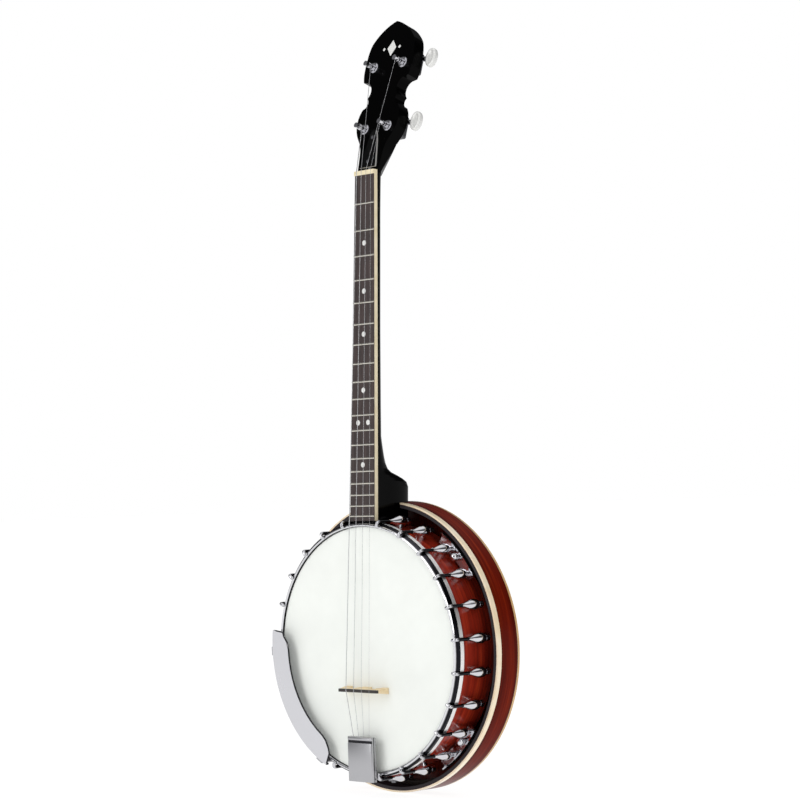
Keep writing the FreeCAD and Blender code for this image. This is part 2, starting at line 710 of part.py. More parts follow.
def make_housing_with_ears(across, along):
    housing = make_housing(across, along)
    ears = []
    for x, z, sign in ear_places(across, along):
        ear = cylinder(2.8, 1.2, V(x, peghead_thickness, z), AY)
        z_in = z - sign * (ear_reach + 0.6)
        web = box_between(x - 2.8, x + 2.8, peghead_thickness, peghead_thickness + 1.2,
                          min(z, z_in), max(z, z_in))
        hole = cylinder(1.3, 4, V(x, peghead_thickness - 1, z), AY)
        ears.append(ear.fuse(web).cut(hole))
    return fused([housing] + ears)


screw_pilots = []
housings, bushings, housing_screws = [], [], []
for across, along in posts:
    housings.append(on_peghead(make_housing_with_ears(across, along)))
    bushings.append(on_peghead(make_bushing(across, along)))
    housing_screws += [on_peghead(s) for s in make_housing_screws(across, along)]
    for x, z, _ in ear_places(across, along):
        screw_pilots.append(on_peghead(cylinder(1.25, 7.2, V(x, peghead_thickness - 7.1, z), AY)))
export_list["neck"] = export_list["neck"].cut(fused(screw_pilots))
export_list["tuner_housings"] = group(housings)
export_list["tuner_bushings"] = group(bushings)
export_list["housing_screws"] = group(housing_screws)

# strings run low to high from -X to +X; the outer two go to the lower posts
string_posts = (0, 2, 3, 1)      # index in posts of each string's post
for k, (across, along) in enumerate(posts):
    string = string_posts.index(k)
    pieces = [make_post(across, along)] + make_winding(across, along, string_gauges[string])
    export_list["tuner_post_%d" % (k + 1)] = group(on_peghead(p) for p in pieces)
    export_list["tuner_shaft_%d" % (k + 1)] = on_peghead(make_tuner_shaft(across, along))
    export_list["tuner_button_%d" % (k + 1)] = on_peghead(make_button(across, along))

# ---- bridge and strings -------------------------------------------------------------------------
bridge_z = nut_z - scale_length
head_front = behind(head_depth)
bridge_top = head_front - bridge_height


def make_bridge():
    """Three-footed bridge of maple, wedge-shaped from foot to cap."""
    foot_t, top_t = 7.0, 3.4
    body_top = bridge_top + cap_height
    profile = [V(-foot_t / 2, head_front, 0), V(foot_t / 2, head_front, 0),
               V(top_t / 2, body_top, 0), V(-top_t / 2, body_top, 0)]
    wedge = Part.Face(Part.makePolygon(profile + profile[:1])).extrude(V(0, 0, 2 * bridge_half_width))
    wedge.rotate(V(0, 0, 0), AY, 90)
    wedge.translate(V(-bridge_half_width, 0, bridge_z))
    for side in (-1, 1):
        wedge = wedge.cut(slope_cut(side, body_top))
        arch = cylinder(9.0, 20, V(side * 15.5, head_front + 2.2, bridge_z - 10), AZ)
        tall = box_between(side * 15.5 - 4.0, side * 15.5 + 4.0, head_front - 8.5, head_front + 1,
                           bridge_z - 10, bridge_z + 10)
        wedge = wedge.cut(arch.fuse(tall))
    return wedge


def slope_cut(side, body_top):
    """Ends of the bridge slope in from the foot to the cap."""
    corners = [V(side * bridge_half_width, head_front - 4.0, bridge_z - 10),
               V(side * cap_half_width, body_top, bridge_z - 10),
               V(side * cap_half_width, body_top - 1, bridge_z - 10),
               V(side * (bridge_half_width + 5), body_top - 1, bridge_z - 10),
               V(side * (bridge_half_width + 5), head_front - 4.0, bridge_z - 10)]
    return Part.Face(Part.makePolygon(corners + corners[:1])).extrude(V(0, 0, 20))


def string_points(k):
    """Nut, bridge and tail points of a string's centre line."""
    gauge = string_gauges[k]
    slot = nut_above_board
    nut_front = neck_place.multVec(V((k - 1.5) * string_spacing_nut, -slot, nut_s))
    nut_rear = neck_place.multVec(V((k - 1.5) * string_spacing_nut, -slot, nut_back))
    top = V((k - 1.5) * string_spacing_bridge, bridge_top - gauge / 2 + 0.2, bridge_z)
    tail = V((k - 1.5) * string_spacing_tail, behind(tail_anchor_depth), tail_front_z - 8.5)
    return nut_front, nut_rear, top, tail


tail_anchor_depth = -8.6


def make_string(k):
    gauge = string_gauges[k]
    nut_front, nut_rear, top, tail = string_points(k)
    across, along = posts[string_posts[k]]
    clear = post_radius - 0.7 + 1.5 * gauge + 0.32
    turns_middle = -post_height + 4.6 + gauge / 2 + 1.5 * (gauge + 0.05)
    start = peghead_place.inverse().multVec(nut_rear)
    gap = V(start.x - across, 0, start.z - along)
    swing = math.degrees(math.acos(clear / gap.Length)) * (1 if across > 0 else -1)
    to_touch = FreeCAD.Rotation(AY, swing).multVec(gap) * (clear / gap.Length)
    stop = peghead_place.multVec(V(across + to_touch.x, turns_middle, along + to_touch.z))
    runs = [prism_between(tail, top, gauge), prism_between(top, nut_front, gauge),
            prism_between(nut_front, nut_rear, gauge), prism_between(nut_rear, stop, gauge)]
    knees = [Part.makeSphere(gauge / 2 * 1.02, p) for p in (top, nut_front, nut_rear)]
    return fused(runs + knees)


cap_block = box_between(-cap_half_width, cap_half_width, bridge_top, bridge_top + cap_height,
                        bridge_z - 1.7, bridge_z + 1.7)
cap_notches = [cylinder(g / 2 + 2 * fit_gap, 10, V((k - 1.5) * string_spacing_bridge,
                                               bridge_top - g / 2 + 0.2, bridge_z - 5), AZ)
               for k, g in enumerate(string_gauges)]
export_list["bridge_body"] = make_bridge()
export_list["bridge_cap"] = cap_block.cut(group(cap_notches))
strings = [make_string(k) for k in range(len(string_gauges))]
export_list["strings"] = group(strings)

# ---- tailpiece ----------------------------------------------------------------------------------
tail_rear_z = tail_front_z - tail_length
pin_z, pin_depth = tail_rear_z + 3.5, -8.0
cover_side_gap = 0.4
cheek_reach = 2.1
base_half = tail_half_width - sheet - cover_side_gap


def make_tail_base():
    """Pressed channel with a hitch post for each string and two hinge cheeks."""
    floor = box_between(-base_half, base_half, behind(tail_base_depth - sheet), behind(tail_base_depth),
                        tail_rear_z, tail_front_z)
    cheeks = []
    for side in (-1, 1):
        a, b = side * (base_half - sheet), side * base_half
        cheeks.append(box_between(min(a, b), max(a, b), behind(pin_depth - cheek_reach),
                                  behind(tail_base_depth), pin_z - cheek_reach, pin_z + 5.0))
    hitch = []
    for k, gauge in enumerate(string_gauges):
        x = (k - 1.5) * string_spacing_tail
        hitch.append(cylinder(1.1, -tail_anchor_depth + 1.2 + tail_base_depth,
                              V(x, behind(tail_anchor_depth - 1.2), tail_front_z - 9.8), AY))
    base = fused([floor] + cheeks + hitch)
    return base.cut(cylinder(tail_pin_radius, 60, V(-30, behind(pin_depth), pin_z), AX))


def make_tail_cover():
    """Hinged cover: a pressed lid with rolled front edge and two sides."""
    top, low = tail_cover_depth, tail_base_depth - sheet - 0.6
    x = tail_half_width
    lid = box_between(-x, x, behind(top), behind(low), tail_rear_z, tail_front_z + 0.6)
    long_edges = [e for e in lid.Edges if e.BoundBox.ZLength > 10 and e.BoundBox.YMax < behind(top) + 0.01]
    front_edge = [e for e in lid.Edges if e.BoundBox.XLength > 10 and e.BoundBox.YMax < behind(top) + 0.01
                  and e.BoundBox.ZMin > tail_front_z]
    lid = lid.makeFillet(1.8, long_edges + front_edge)
    hollow = box_between(-x + sheet, x - sheet, behind(top + sheet), behind(low) + 5, tail_rear_z - 5,
                         tail_front_z + 0.6 - sheet)
    mouth = box_between(-x - 1, x + 1, behind(-10.4), behind(low) + 5, tail_front_z - 2, tail_front_z + 5)
    heel = cylinder(pin_z - tail_rear_z, 60, V(-30, behind(pin_depth), pin_z), AX)
    corner = box_between(-30, 30, behind(pin_depth), behind(low) + 5, tail_rear_z - 5, pin_z).cut(heel)
    bore = cylinder(tail_pin_radius + running_clearance, 60, V(-30, behind(pin_depth), pin_z), AX)
    return lid.cut(hollow).cut(mouth).cut(corner).cut(bore)


def make_hanger():
    """Strap from the tail stud round the outside of the hoops to the floor of the tailpiece."""
    half, thick = 8.0, 2.0
    z_out = -(hoop_outer + 1.2)
    strap = box_between(-half, half, behind(tail_base_depth), behind(rod_depth + 9), z_out - thick, z_out)
    foot = box_between(-half, half, behind(tail_base_depth), behind(tail_base_depth + thick) - 0.6,
                       z_out - thick, z_out + 8.0)
    hole = cylinder(stud_diameter / 2 + fit_gap, 20, V(0, behind(rod_depth), z_out + 5), -AZ)
    return strap.fuse(foot).cut(hole)


export_list["tailpiece_base"] = make_tail_base()
export_list["tailpiece_cover"] = make_tail_cover()
export_list["tailpiece_pin"] = cylinder(tail_pin_radius, 2 * tail_half_width + 0.8,
                                        V(-tail_half_width - 0.4, behind(pin_depth), pin_z), AX)
export_list["tailpiece_hanger"] = make_hanger()

# ---- coordinator rod and its fasteners ----------------------------------------------------------
rod_end = rim_inner - 8.0
rod_body = cylinder(rod_diameter / 2, 2 * rod_end, V(0, behind(rod_depth), -rod_end), AZ)
sockets = [cylinder(stud_diameter / 2 + fit_gap, 16, V(0, behind(rod_depth), side * rod_end), AZ * -side)
           for side in (-1, 1)]
export_list["coordinator_rod"] = rod_body.cut(group(sockets))
strap_outer = hoop_outer + 3.2
lag_length = rim_radius - head_skin + 27 - (rod_end - 14)
stud_length = strap_outer + 7 - (rod_end - 14)
lag_bolt = cylinder(stud_diameter / 2, lag_length, V(0, behind(rod_depth), rod_end - 14), AZ)
tail_stud = cylinder(stud_diameter / 2, stud_length, V(0, behind(rod_depth), -(rod_end - 14)), -AZ)
export_list["neck_lag_bolt"] = lag_bolt
export_list["tail_stud"] = tail_stud


def stud_nut(z, direction, length=5.0):
    start = V(0, behind(rod_depth), z)
    nut = hexagon(11.0, length, start, direction)
    return nut.cut(cylinder(stud_diameter / 2 + fit_gap, length + 2, start - direction, direction))


def stud_collar(z_from, z_to, radius):
    low, high = min(z_from, z_to), max(z_from, z_to)
    tube = cylinder(radius, high - low, V(0, behind(rod_depth), low), AZ)
    return tube.cut(cylinder(stud_diameter / 2 + fit_gap, high - low, V(0, behind(rod_depth), low), AZ))


rod_nuts = [stud_nut(rim_inner - 7.5, AZ), stud_collar(rim_inner - 2.5, rim_inner - 0.4, 8.0),
            stud_nut(-(rim_inner - 7.5), -AZ), stud_collar(-(rim_inner - 2.5), -(rim_inner - 0.4), 8.0),
            stud_collar(-(rim_radius - head_skin + 0.1), -(hoop_outer + 1.2), 6.0),
            stud_nut(-strap_outer, -AZ)]
export_list["rod_nuts"] = group(rod_nuts)

# ---- resonator ----------------------------------------------------------------------------------
side_inner = resonator_radius - resonator_wall
dome_reach = resonator_radius - back_flat_radius
dome_drop = body_depth - resonator_corner_depth
dome_radius = (dome_reach ** 2 + dome_drop ** 2) / (2 * dome_drop)


def dome_depth(radius, inset):
    """Depth of the back's outer face (inset 0) or of a surface inside it."""
    r = max(radius - back_flat_radius, 0.0)
    return body_depth - dome_radius + math.sqrt(dome_radius ** 2 - r ** 2) - inset


def make_back():
    """Shallow dish, flat in the middle, that closes the resonator."""
    edge_r = resonator_radius
    mid = back_flat_radius + dome_reach / 2

    def skin(inset):
        start = V(0, behind(body_depth - inset), 0)
        flat_end = V(back_flat_radius, behind(body_depth - inset), 0)
        middle = V(mid, behind(dome_depth(mid, inset)), 0)
        end = V(edge_r, behind(dome_depth(edge_r, inset)), 0)
        return start, flat_end, middle, end

    o0, o1, o2, o3 = skin(0)
    i0, i1, i2, i3 = skin(back_thickness)
    wire = Part.Wire([Part.makeLine(o0, o1), Part.Arc(o1, o2, o3).toShape(), Part.makeLine(o3, i3),
                      Part.Arc(i3, i2, i1).toShape(), Part.makeLine(i1, i0), Part.makeLine(i0, o0)])
    return Part.Face(wire).revolve(V(0, 0, 0), AY, 360)


side_back = resonator_corner_depth - back_thickness
back_plate = make_back()
side_wall = ring(side_inner, resonator_radius, resonator_front_depth, side_back)
front_binding = ring(resonator_radius - binding_thickness, resonator_radius,
                     resonator_front_depth, resonator_front_depth + binding_height)
back_binding = ring(resonator_radius - binding_thickness, resonator_radius,
                    side_back - back_binding_height + back_thickness, side_back + back_thickness)
lining = ring(side_inner - lining_width, side_inner, side_back - lining_height, side_back)
heel_half_notch = end_half_width * 0.98 + notch_clearance
notch = box_between(-heel_half_notch, heel_half_notch, behind(resonator_front_depth - 10),
                    behind(heel_depth + notch_clearance), side_inner - 20, resonator_radius + 20)
side_wall = side_wall.cut(front_binding).cut(back_binding).cut(notch)
back_rest = back_plate.cut(back_binding)
export_list["resonator_back"] = back_rest
export_list["resonator_side"] = side_wall
export_list["resonator_front_binding"] = front_binding.cut(notch)
export_list["resonator_back_binding"] = back_binding
export_list["resonator_lining"] = lining.cut(notch)

# ---- resonator brackets -------------------------------------------------------------------------
thumb_angles = [thumb_angle, 180 - thumb_angle, -thumb_angle, thumb_angle - 180]
bracket_spans = []
for upper, (first, second) in ((True, (2, 3)), (False, (8, 9))):
    before = bracket_long_end if upper else bracket_short_end
    after = bracket_short_end if upper else bracket_long_end
    start, stop, hooks = hook_angles[first] - before, hook_angles[second] + after, (first, second)
    bracket_spans.append((start, stop, [hook_angles[k] for k in hooks]))
    bracket_spans.append((-stop, -start, [-hook_angles[k] for k in hooks]))


def sector(shape, start, stop):
    """Part of a ring about the pot axis between two angles from the neck."""
    wedge = Part.makeCylinder(400, 400, V(0, behind(-150), 0), AY, stop - start)
    centre = wedge.CenterOfMass
    wedge.rotate(V(0, 0, 0), AY, (start + stop) / 2 - math.degrees(math.atan2(centre.x, centre.z)))
    return shape.common(wedge)


def make_bracket(span):
    start, stop, hooks = span
    inner, outer = rim_radius + bracket_rim_gap, side_inner - bracket_wall_gap
    plate = ring(inner, outer, bracket_depth, bracket_depth + bracket_thickness)
    lip = ring(outer - bracket_thickness, outer, bracket_depth - bracket_lip, bracket_depth + 0.2)
    bracket = sector(plate.fuse(lip), start, stop)
    hole = cylinder(hook_wire / 2 + fit_gap, 10, V(0, behind(bracket_depth - 4), shank_radius), AY)
    thumb = min(thumb_angles, key=lambda a: abs(a - (start + stop) / 2))
    slot = cylinder(thumb_shaft_diameter / 2 + running_clearance * 2, 10,
                    V(0, behind(bracket_depth - 4), thumb_circle_radius), AY)
    return bracket.cut(fused([round_pot(hole, a) for a in hooks] + [round_pot(slot, thumb)]))


def make_spacer():
    start = V(0, behind(shoe_rear_depth + fit_gap), shank_radius)
    length = bracket_depth - shoe_rear_depth - 2 * fit_gap
    return cylinder(hook_wire / 2 + 1.6, length, start, AY).cut(
        cylinder(hook_wire / 2 + fit_gap, length, start, AY))


def make_lug():
    """Threaded block that stands on the inside of the resonator wall."""
    block = box_between(-lug_width / 2, lug_width / 2, behind(lug_depth), behind(lug_depth + lug_height),
                        thumb_circle_radius - 6.0, side_inner + 5)
    block = block.common(cylinder(side_inner, 60, V(0, behind(lug_depth - 5), 0), AY))
    bore = cylinder(thumb_shaft_diameter / 2 + running_clearance, 40,
                    V(0, behind(lug_depth - 5), thumb_circle_radius), AY)
    return block.cut(bore)


def make_thumb_screw():
    """Ball-headed screw with a knurled collar behind the ball."""
    collar_back = bracket_depth - 0.3
    collar_front = collar_back - 3.0
    shaft_end = lug_depth + lug_height - 1.0
    axis = V(0, behind(collar_front), thumb_circle_radius)
    ball = Part.makeSphere(thumb_head_radius, V(0, behind(collar_front - thumb_head_radius + 1.0),
                                                thumb_circle_radius))
    collar = cylinder(thumb_knurl_radius, collar_back - collar_front, axis, AY)
    shaft = cylinder(thumb_shaft_diameter / 2, shaft_end - collar_front, axis, AY)
    return fused([ball, collar, shaft])


spacer, lug, thumb_screw = make_spacer(), make_lug(), make_thumb_screw()
bracket_hook_angles = [a for span in bracket_spans for a in span[2]]
export_list["resonator_brackets"] = group(make_bracket(s) for s in bracket_spans)
export_list["bracket_spacers"] = group(round_pot(spacer, a) for a in bracket_hook_angles)
export_list["resonator_lugs"] = group(round_pot(lug, a) for a in thumb_angles)
for k, angle in enumerate(thumb_angles):
    export_list["thumb_screw_%d" % (k + 1)] = round_pot(thumb_screw, angle)

# ---- armrest ------------------------------------------------------------------------------------


def polar(radius, angle, depth):
    a = math.radians(angle)
    return V(radius * math.sin(a), behind(depth), radius * math.cos(a))


def make_armrest():
    """Chromed plate that stands over the head, with its outer edge turned down over the hoop."""
    top, low = armrest_top_angle, armrest_low_angle
    r_in, r_out = armrest_inner_radius, armrest_outer_radius
    depth = armrest_depth

    def point(radius, angle):
        return polar(radius, angle, depth)

    shoulder = 10.0
    upper = Part.BSplineCurve()
    upper.interpolate([point(r_in + shoulder, top), point(r_in + shoulder * 0.8, top - 2.2),
                       point(r_in + 2.4, top - 5.0), point(r_in, top - 9.0)])
    lower = Part.BSplineCurve()
    lower.interpolate([point(r_in, low + 9.0), point(r_in + 2.0, low + 5.5),
                       point(r_in + shoulder * 0.8, low + 1.8), point(r_in + shoulder * 1.25, low)])
    middle = (top + low) / 2
    inner_arc = Part.Arc(point(r_in, top - 9.0), point(r_in, middle), point(r_in, low + 9.0)).toShape()
    outer_arc = Part.Arc(point(r_out, low), point(r_out, middle), point(r_out, top)).toShape()
    ends = [Part.makeLine(point(r_out, top), point(r_in + shoulder, top)),
            Part.makeLine(point(r_in + shoulder * 1.25, low), point(r_out, low))]
    wire = Part.Wire(Part.__sortEdges__([upper.toShape(), inner_arc, lower.toShape(), outer_arc] + ends))
    plate = Part.Face(wire).extrude(V(0, armrest_sheet, 0))
    skirt_ring = ring(r_out - 0.2, r_out + armrest_sheet, depth, depth + armrest_skirt)
    skirt = sector(skirt_ring, low, top)
    return plate.fuse(skirt)


def make_armrest_leg(angle):
    """Leg from the armrest's edge down the outside of the hoops, with a foot under the flesh hoop."""
    r_leg = armrest_outer_radius + armrest_sheet + fit_gap
    leg = box_between(-5.0, 5.0, behind(armrest_depth + 0.6), behind(flesh_back + 4.0), r_leg, r_leg + 2.0)
    inner = rim_radius - head_skin + 1.0
    foot = box_between(-5.0, 5.0, behind(flesh_back + 2.0), behind(flesh_back + 4.0), inner, r_leg + 0.1)
    bolt_radius = inner + 4.0
    clamp = hexagon(6.0, 3.0, V(0, behind(flesh_back + 4.0), bolt_radius), AY)
    bolt = cylinder(1.8, 3.8, V(0, behind(flesh_back + fit_gap), bolt_radius), AY)
    return round_pot(fused([leg, foot, clamp, bolt]), angle)


gap_angles = [-(hook_angles[k] + hook_spacing / 2) for k in (5, 9)]
export_list["armrest"] = make_armrest()
export_list["armrest_legs"] = group(make_armrest_leg(a) for a in gap_angles)

os.makedirs("parts", exist_ok=True)
for name, shape in export_list.items():
    export(name, shape)
print(len(export_list), "nodes written")
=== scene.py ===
"""Four-string resonator tenor banjo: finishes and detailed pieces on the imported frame.

The frame is in metres: X to the right as the head is seen, Y from the head to the back, Z up the
neck.  The origin is the middle of the resonator's flat back.
"""
import math
import bmesh
import bpy
from mathutils import Matrix, Vector


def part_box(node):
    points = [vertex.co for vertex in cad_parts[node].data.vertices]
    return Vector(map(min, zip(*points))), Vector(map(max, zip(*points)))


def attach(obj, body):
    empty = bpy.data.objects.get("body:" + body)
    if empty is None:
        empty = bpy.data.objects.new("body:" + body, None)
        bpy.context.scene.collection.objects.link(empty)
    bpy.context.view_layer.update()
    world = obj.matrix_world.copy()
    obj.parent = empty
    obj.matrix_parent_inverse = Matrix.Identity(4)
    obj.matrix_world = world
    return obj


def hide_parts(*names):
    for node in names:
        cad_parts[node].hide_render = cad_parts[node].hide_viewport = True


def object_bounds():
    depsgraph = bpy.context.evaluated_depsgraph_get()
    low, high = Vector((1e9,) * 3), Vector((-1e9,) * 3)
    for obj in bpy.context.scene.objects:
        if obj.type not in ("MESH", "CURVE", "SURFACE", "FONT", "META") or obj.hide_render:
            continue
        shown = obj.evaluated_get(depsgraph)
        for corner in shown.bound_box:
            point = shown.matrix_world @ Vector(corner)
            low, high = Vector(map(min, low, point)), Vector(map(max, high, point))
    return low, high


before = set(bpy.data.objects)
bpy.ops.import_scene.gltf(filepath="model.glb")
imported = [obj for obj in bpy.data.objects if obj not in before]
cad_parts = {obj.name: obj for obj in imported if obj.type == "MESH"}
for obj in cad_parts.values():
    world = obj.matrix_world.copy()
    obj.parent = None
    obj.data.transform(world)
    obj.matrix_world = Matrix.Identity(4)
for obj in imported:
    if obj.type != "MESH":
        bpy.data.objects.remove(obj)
cad_box = [list(map(float, corner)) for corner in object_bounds()]
bpy.ops.object.select_all(action="DESELECT")

# ---- Rim --------------------------------------------------------------------------------------
# The pot's rim is a thick hoop of bent maple plies.  It is stained red-brown and sprayed with a
# thick clear lacquer, which the row of shoe screws goes through.


def linear(shade):
    """An sRGB hex value as the linear colour that a shader takes."""
    channels = [int(shade[k:k + 2], 16) / 255 for k in (1, 3, 5)]
    return [c / 12.92 if c <= 0.04045 else ((c + 0.055) / 1.055) ** 2.4 for c in channels] + [1.0]


def add(tree, kind, inputs, **settings):
    """One node with its settings; an input takes a plain value or another node's output."""
    node = tree.nodes.new(kind)
    for name, value in settings.items():
        setattr(node, name, value)
    for name, value in inputs.items():
        socket = node.inputs[name]
        if isinstance(value, bpy.types.NodeSocket):
            tree.links.new(value, socket)
        else:
            socket.default_value = value
    return node


def finish(name):
    """A new finish: the material, its node tree and its shader, joined to the output."""
    material = bpy.data.materials.new(name)
    material.use_nodes = True
    tree = material.node_tree
    tree.nodes.clear()
    shader = tree.nodes.new("ShaderNodeBsdfPrincipled")
    output = tree.nodes.new("ShaderNodeOutputMaterial")
    tree.links.new(shader.outputs["BSDF"], output.inputs["Surface"])
    return material, tree, shader


def blend_of(tree, factor, stops):
    """Colours spread over a factor from 0 to 1."""
    ramp = tree.nodes.new("ShaderNodeValToRGB")
    tree.links.new(factor, ramp.inputs["Fac"])
    bar = ramp.color_ramp
    while len(bar.elements) < len(stops):
        bar.elements.new(0.5)
    for element, (place, shade) in zip(bar.elements, stops):
        element.position = place
        element.color = linear(shade)
    return ramp.outputs["Color"]


def coat(material, *nodes):
    """Give CAD nodes this finish."""
    for name in nodes:
        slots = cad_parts[name].data.materials
        slots.clear()
        slots.append(material)


# maple plies under red-brown lacquer: the grain runs round the hoop, so it is close across Y, with
# lines about 4 mm apart, which is coarser than in real maple so that they show
rim_lacquer, tree, shader = finish("lacquered_maple_ply")
where = add(tree, "ShaderNodeTexCoord", {}).outputs["Object"]
along = add(tree, "ShaderNodeMapping",
            {"Vector": where, "Scale": (9.0, 260.0, 9.0)}).outputs["Vector"]
grain = add(tree, "ShaderNodeTexNoise",
            {"Vector": along, "Scale": 1.0, "Detail": 6.0, "Roughness": 0.6})
shade = blend_of(tree, grain.outputs["Fac"],
                 [(0.30, "#741f13"), (0.52, "#a02a19"), (0.75, "#c84524")])
tree.links.new(shade, shader.inputs["Base Color"])
shader.inputs["Roughness"].default_value = 0.32
shader.inputs["Specular IOR Level"].default_value = 0.4
shader.inputs["Coat Weight"].default_value = 0.4
shader.inputs["Coat Roughness"].default_value = 0.06
coat(rim_lacquer, "rim")

# ---- Tone ring --------------------------------------------------------------------------------
# A turned brass ring lies on the rim and carries the head.  Turning leaves fine rings that soften
# its shine.
turned_brass, tree, shader = finish("turned_brass")
where = add(tree, "ShaderNodeTexCoord", {}).outputs["Object"]
along = add(tree, "ShaderNodeMapping",
            {"Vector": where, "Scale": (30.0, 900.0, 30.0)}).outputs["Vector"]
rings = add(tree, "ShaderNodeTexNoise", {"Vector": along, "Scale": 1.0, "Detail": 3.0})
rough = add(tree, "ShaderNodeMapRange",
            {"Value": rings.outputs["Fac"], "To Min": 0.22, "To Max": 0.42})
tree.links.new(rough.outputs["Result"], shader.inputs["Roughness"])
shader.inputs["Base Color"].default_value = linear("#c9a25a")
shader.inputs["Metallic"].default_value = 1.0
coat(turned_brass, "tone_ring")

# ---- Head -------------------------------------------------------------------------------------
# The head is clear polyester film sprayed with a gritty white coat, held in a crimped collar.  The
# coat scatters light and shows a fine tooth and slight cloudiness.  The tooth is 0.7 mm, several
# times coarser than real grit, so that it shows.
coated_film, tree, shader = finish("coated_polyester_film")
where = add(tree, "ShaderNodeTexCoord", {}).outputs["Object"]
cloud = add(tree, "ShaderNodeTexNoise",
            {"Vector": where, "Scale": 14.0, "Detail": 4.0, "Roughness": 0.6})
shade = blend_of(tree, cloud.outputs["Fac"], [(0.30, "#eef1ec"), (0.70, "#f5f8f3")])
tooth = add(tree, "ShaderNodeTexNoise", {"Vector": where, "Scale": 1400.0, "Detail": 2.0})
bump = add(tree, "ShaderNodeBump",
           {"Height": tooth.outputs["Fac"], "Strength": 0.12, "Distance": 0.0001})
tree.links.new(shade, shader.inputs["Base Color"])
tree.links.new(bump.outputs["Normal"], shader.inputs["Normal"])
shader.inputs["Roughness"].default_value = 0.62
shader.inputs["Specular IOR Level"].default_value = 0.35
coat(coated_film, "drum_head")

# ---- Flesh hoop -------------------------------------------------------------------------------
# An aluminium band grips the head's collar just behind the tension hoop.  Its drawn surface is
# satin, with faint lines round it.
drawn_aluminium, tree, shader = finish("drawn_aluminium")
where = add(tree, "ShaderNodeTexCoord", {}).outputs["Object"]
along = add(tree, "ShaderNodeMapping",
            {"Vector": where, "Scale": (12.0, 1500.0, 12.0)}).outputs["Vector"]
lines = add(tree, "ShaderNodeTexNoise", {"Vector": along, "Scale": 1.0, "Detail": 3.0})
rough = add(tree, "ShaderNodeMapRange",
            {"Value": lines.outputs["Fac"], "To Min": 0.34, "To Max": 0.50})
tree.links.new(rough.outputs["Result"], shader.inputs["Roughness"])
shader.inputs["Base Color"].default_value = linear("#fafafa")
shader.inputs["Metallic"].default_value = 1.0
coat(drawn_aluminium, "flesh_hoop")

# ---- Tension hoop, hooks, shoes and nuts ------------------------------------------------------
# Rolled and cast steel with bright chromium plate.  It mirrors the room almost cleanly, with a
# slight ripple from polishing by hand.
chrome_plate, tree, shader = finish("chrome_plate")
where = add(tree, "ShaderNodeTexCoord", {}).outputs["Object"]
ripple = add(tree, "ShaderNodeTexNoise", {"Vector": where, "Scale": 160.0, "Detail": 2.0})
rough = add(tree, "ShaderNodeMapRange",
            {"Value": ripple.outputs["Fac"], "To Min": 0.05, "To Max": 0.14})
bump = add(tree, "ShaderNodeBump",
           {"Height": ripple.outputs["Fac"], "Strength": 0.05, "Distance": 0.0004})
tree.links.new(rough.outputs["Result"], shader.inputs["Roughness"])
tree.links.new(bump.outputs["Normal"], shader.inputs["Normal"])
shader.inputs["Base Color"].default_value = linear("#d2d2d6")
shader.inputs["Metallic"].default_value = 1.0
coat(chrome_plate, "bracket_shoes", "hook_nuts", "bracket_spacers", "resonator_brackets",
     "thumb_screw_1", "thumb_screw_2", "thumb_screw_3", "thumb_screw_4")

# the hoop is chrome all over; its flat sides are coloured dark as a painted reflection of a dark
# room, and only the rounded bead keeps the bright colour; these are the radii that the bead lies
# between, and how far the change fades past them
bead_inside, bead_outside, inner_fade, outer_fade = 0.1374, 0.1400, 0.0004, 0.0006
hoop_plate, tree, shader = finish("chrome_hoop_painted_dark_sides")
where = add(tree, "ShaderNodeTexCoord", {}).outputs["Object"]
parts = add(tree, "ShaderNodeSeparateXYZ", {"Vector": where})
flat = add(tree, "ShaderNodeCombineXYZ", {"X": parts.outputs["X"], "Z": parts.outputs["Z"]})
radius = add(tree, "ShaderNodeVectorMath", {0: flat.outputs["Vector"]},
             operation="LENGTH").outputs["Value"]
outside = add(tree, "ShaderNodeMapRange", {"Value": radius, "From Min": bead_outside,
                                           "From Max": bead_outside + outer_fade}).outputs["Result"]
inside = add(tree, "ShaderNodeMapRange", {"Value": radius, "From Min": bead_inside,
                                          "From Max": bead_inside - inner_fade}).outputs["Result"]
painted_dark_sides = add(tree, "ShaderNodeMath", {0: outside, 1: inside}, operation="MAXIMUM").outputs["Value"]
wipe = add(tree, "ShaderNodeTexNoise", {"Vector": where, "Scale": 90.0, "Detail": 3.0})
rough = add(tree, "ShaderNodeMapRange",
            {"Value": wipe.outputs["Fac"], "To Min": 0.10, "To Max": 0.22})
# the dark colour of the flat sides is a painted reflection, not a darker plating
shade = add(tree, "ShaderNodeMix",
            {"Factor": painted_dark_sides, "A": linear("#d6d6d9"), "B": linear("#1e1e22")}, data_type="RGBA")
tree.links.new(rough.outputs["Result"], shader.inputs["Roughness"])
tree.links.new(shade.outputs["Result"], shader.inputs["Base Color"])
shader.inputs["Metallic"].default_value = 1.0
coat(hoop_plate, "tension_hoop")

# each hook is chrome too; its shank is coloured dark as a painted reflection of a dark room, and
# only the claw that is pulled over the hoop keeps the bright colour; the bright part ends between
# these depths
claw_end, shank_start = -0.0915, -0.0885
hook_plate, tree, shader = finish("chrome_hook_painted_dark_shank")
where = add(tree, "ShaderNodeTexCoord", {}).outputs["Object"]
depth = add(tree, "ShaderNodeSeparateXYZ", {"Vector": where}).outputs["Y"]
painted_dark_shank = add(tree, "ShaderNodeMapRange", {"Value": depth, "From Min": claw_end,
                                         "From Max": shank_start}).outputs["Result"]
wipe = add(tree, "ShaderNodeTexNoise", {"Vector": where, "Scale": 260.0, "Detail": 3.0})
rough = add(tree, "ShaderNodeMapRange",
            {"Value": wipe.outputs["Fac"], "To Min": 0.08, "To Max": 0.20})
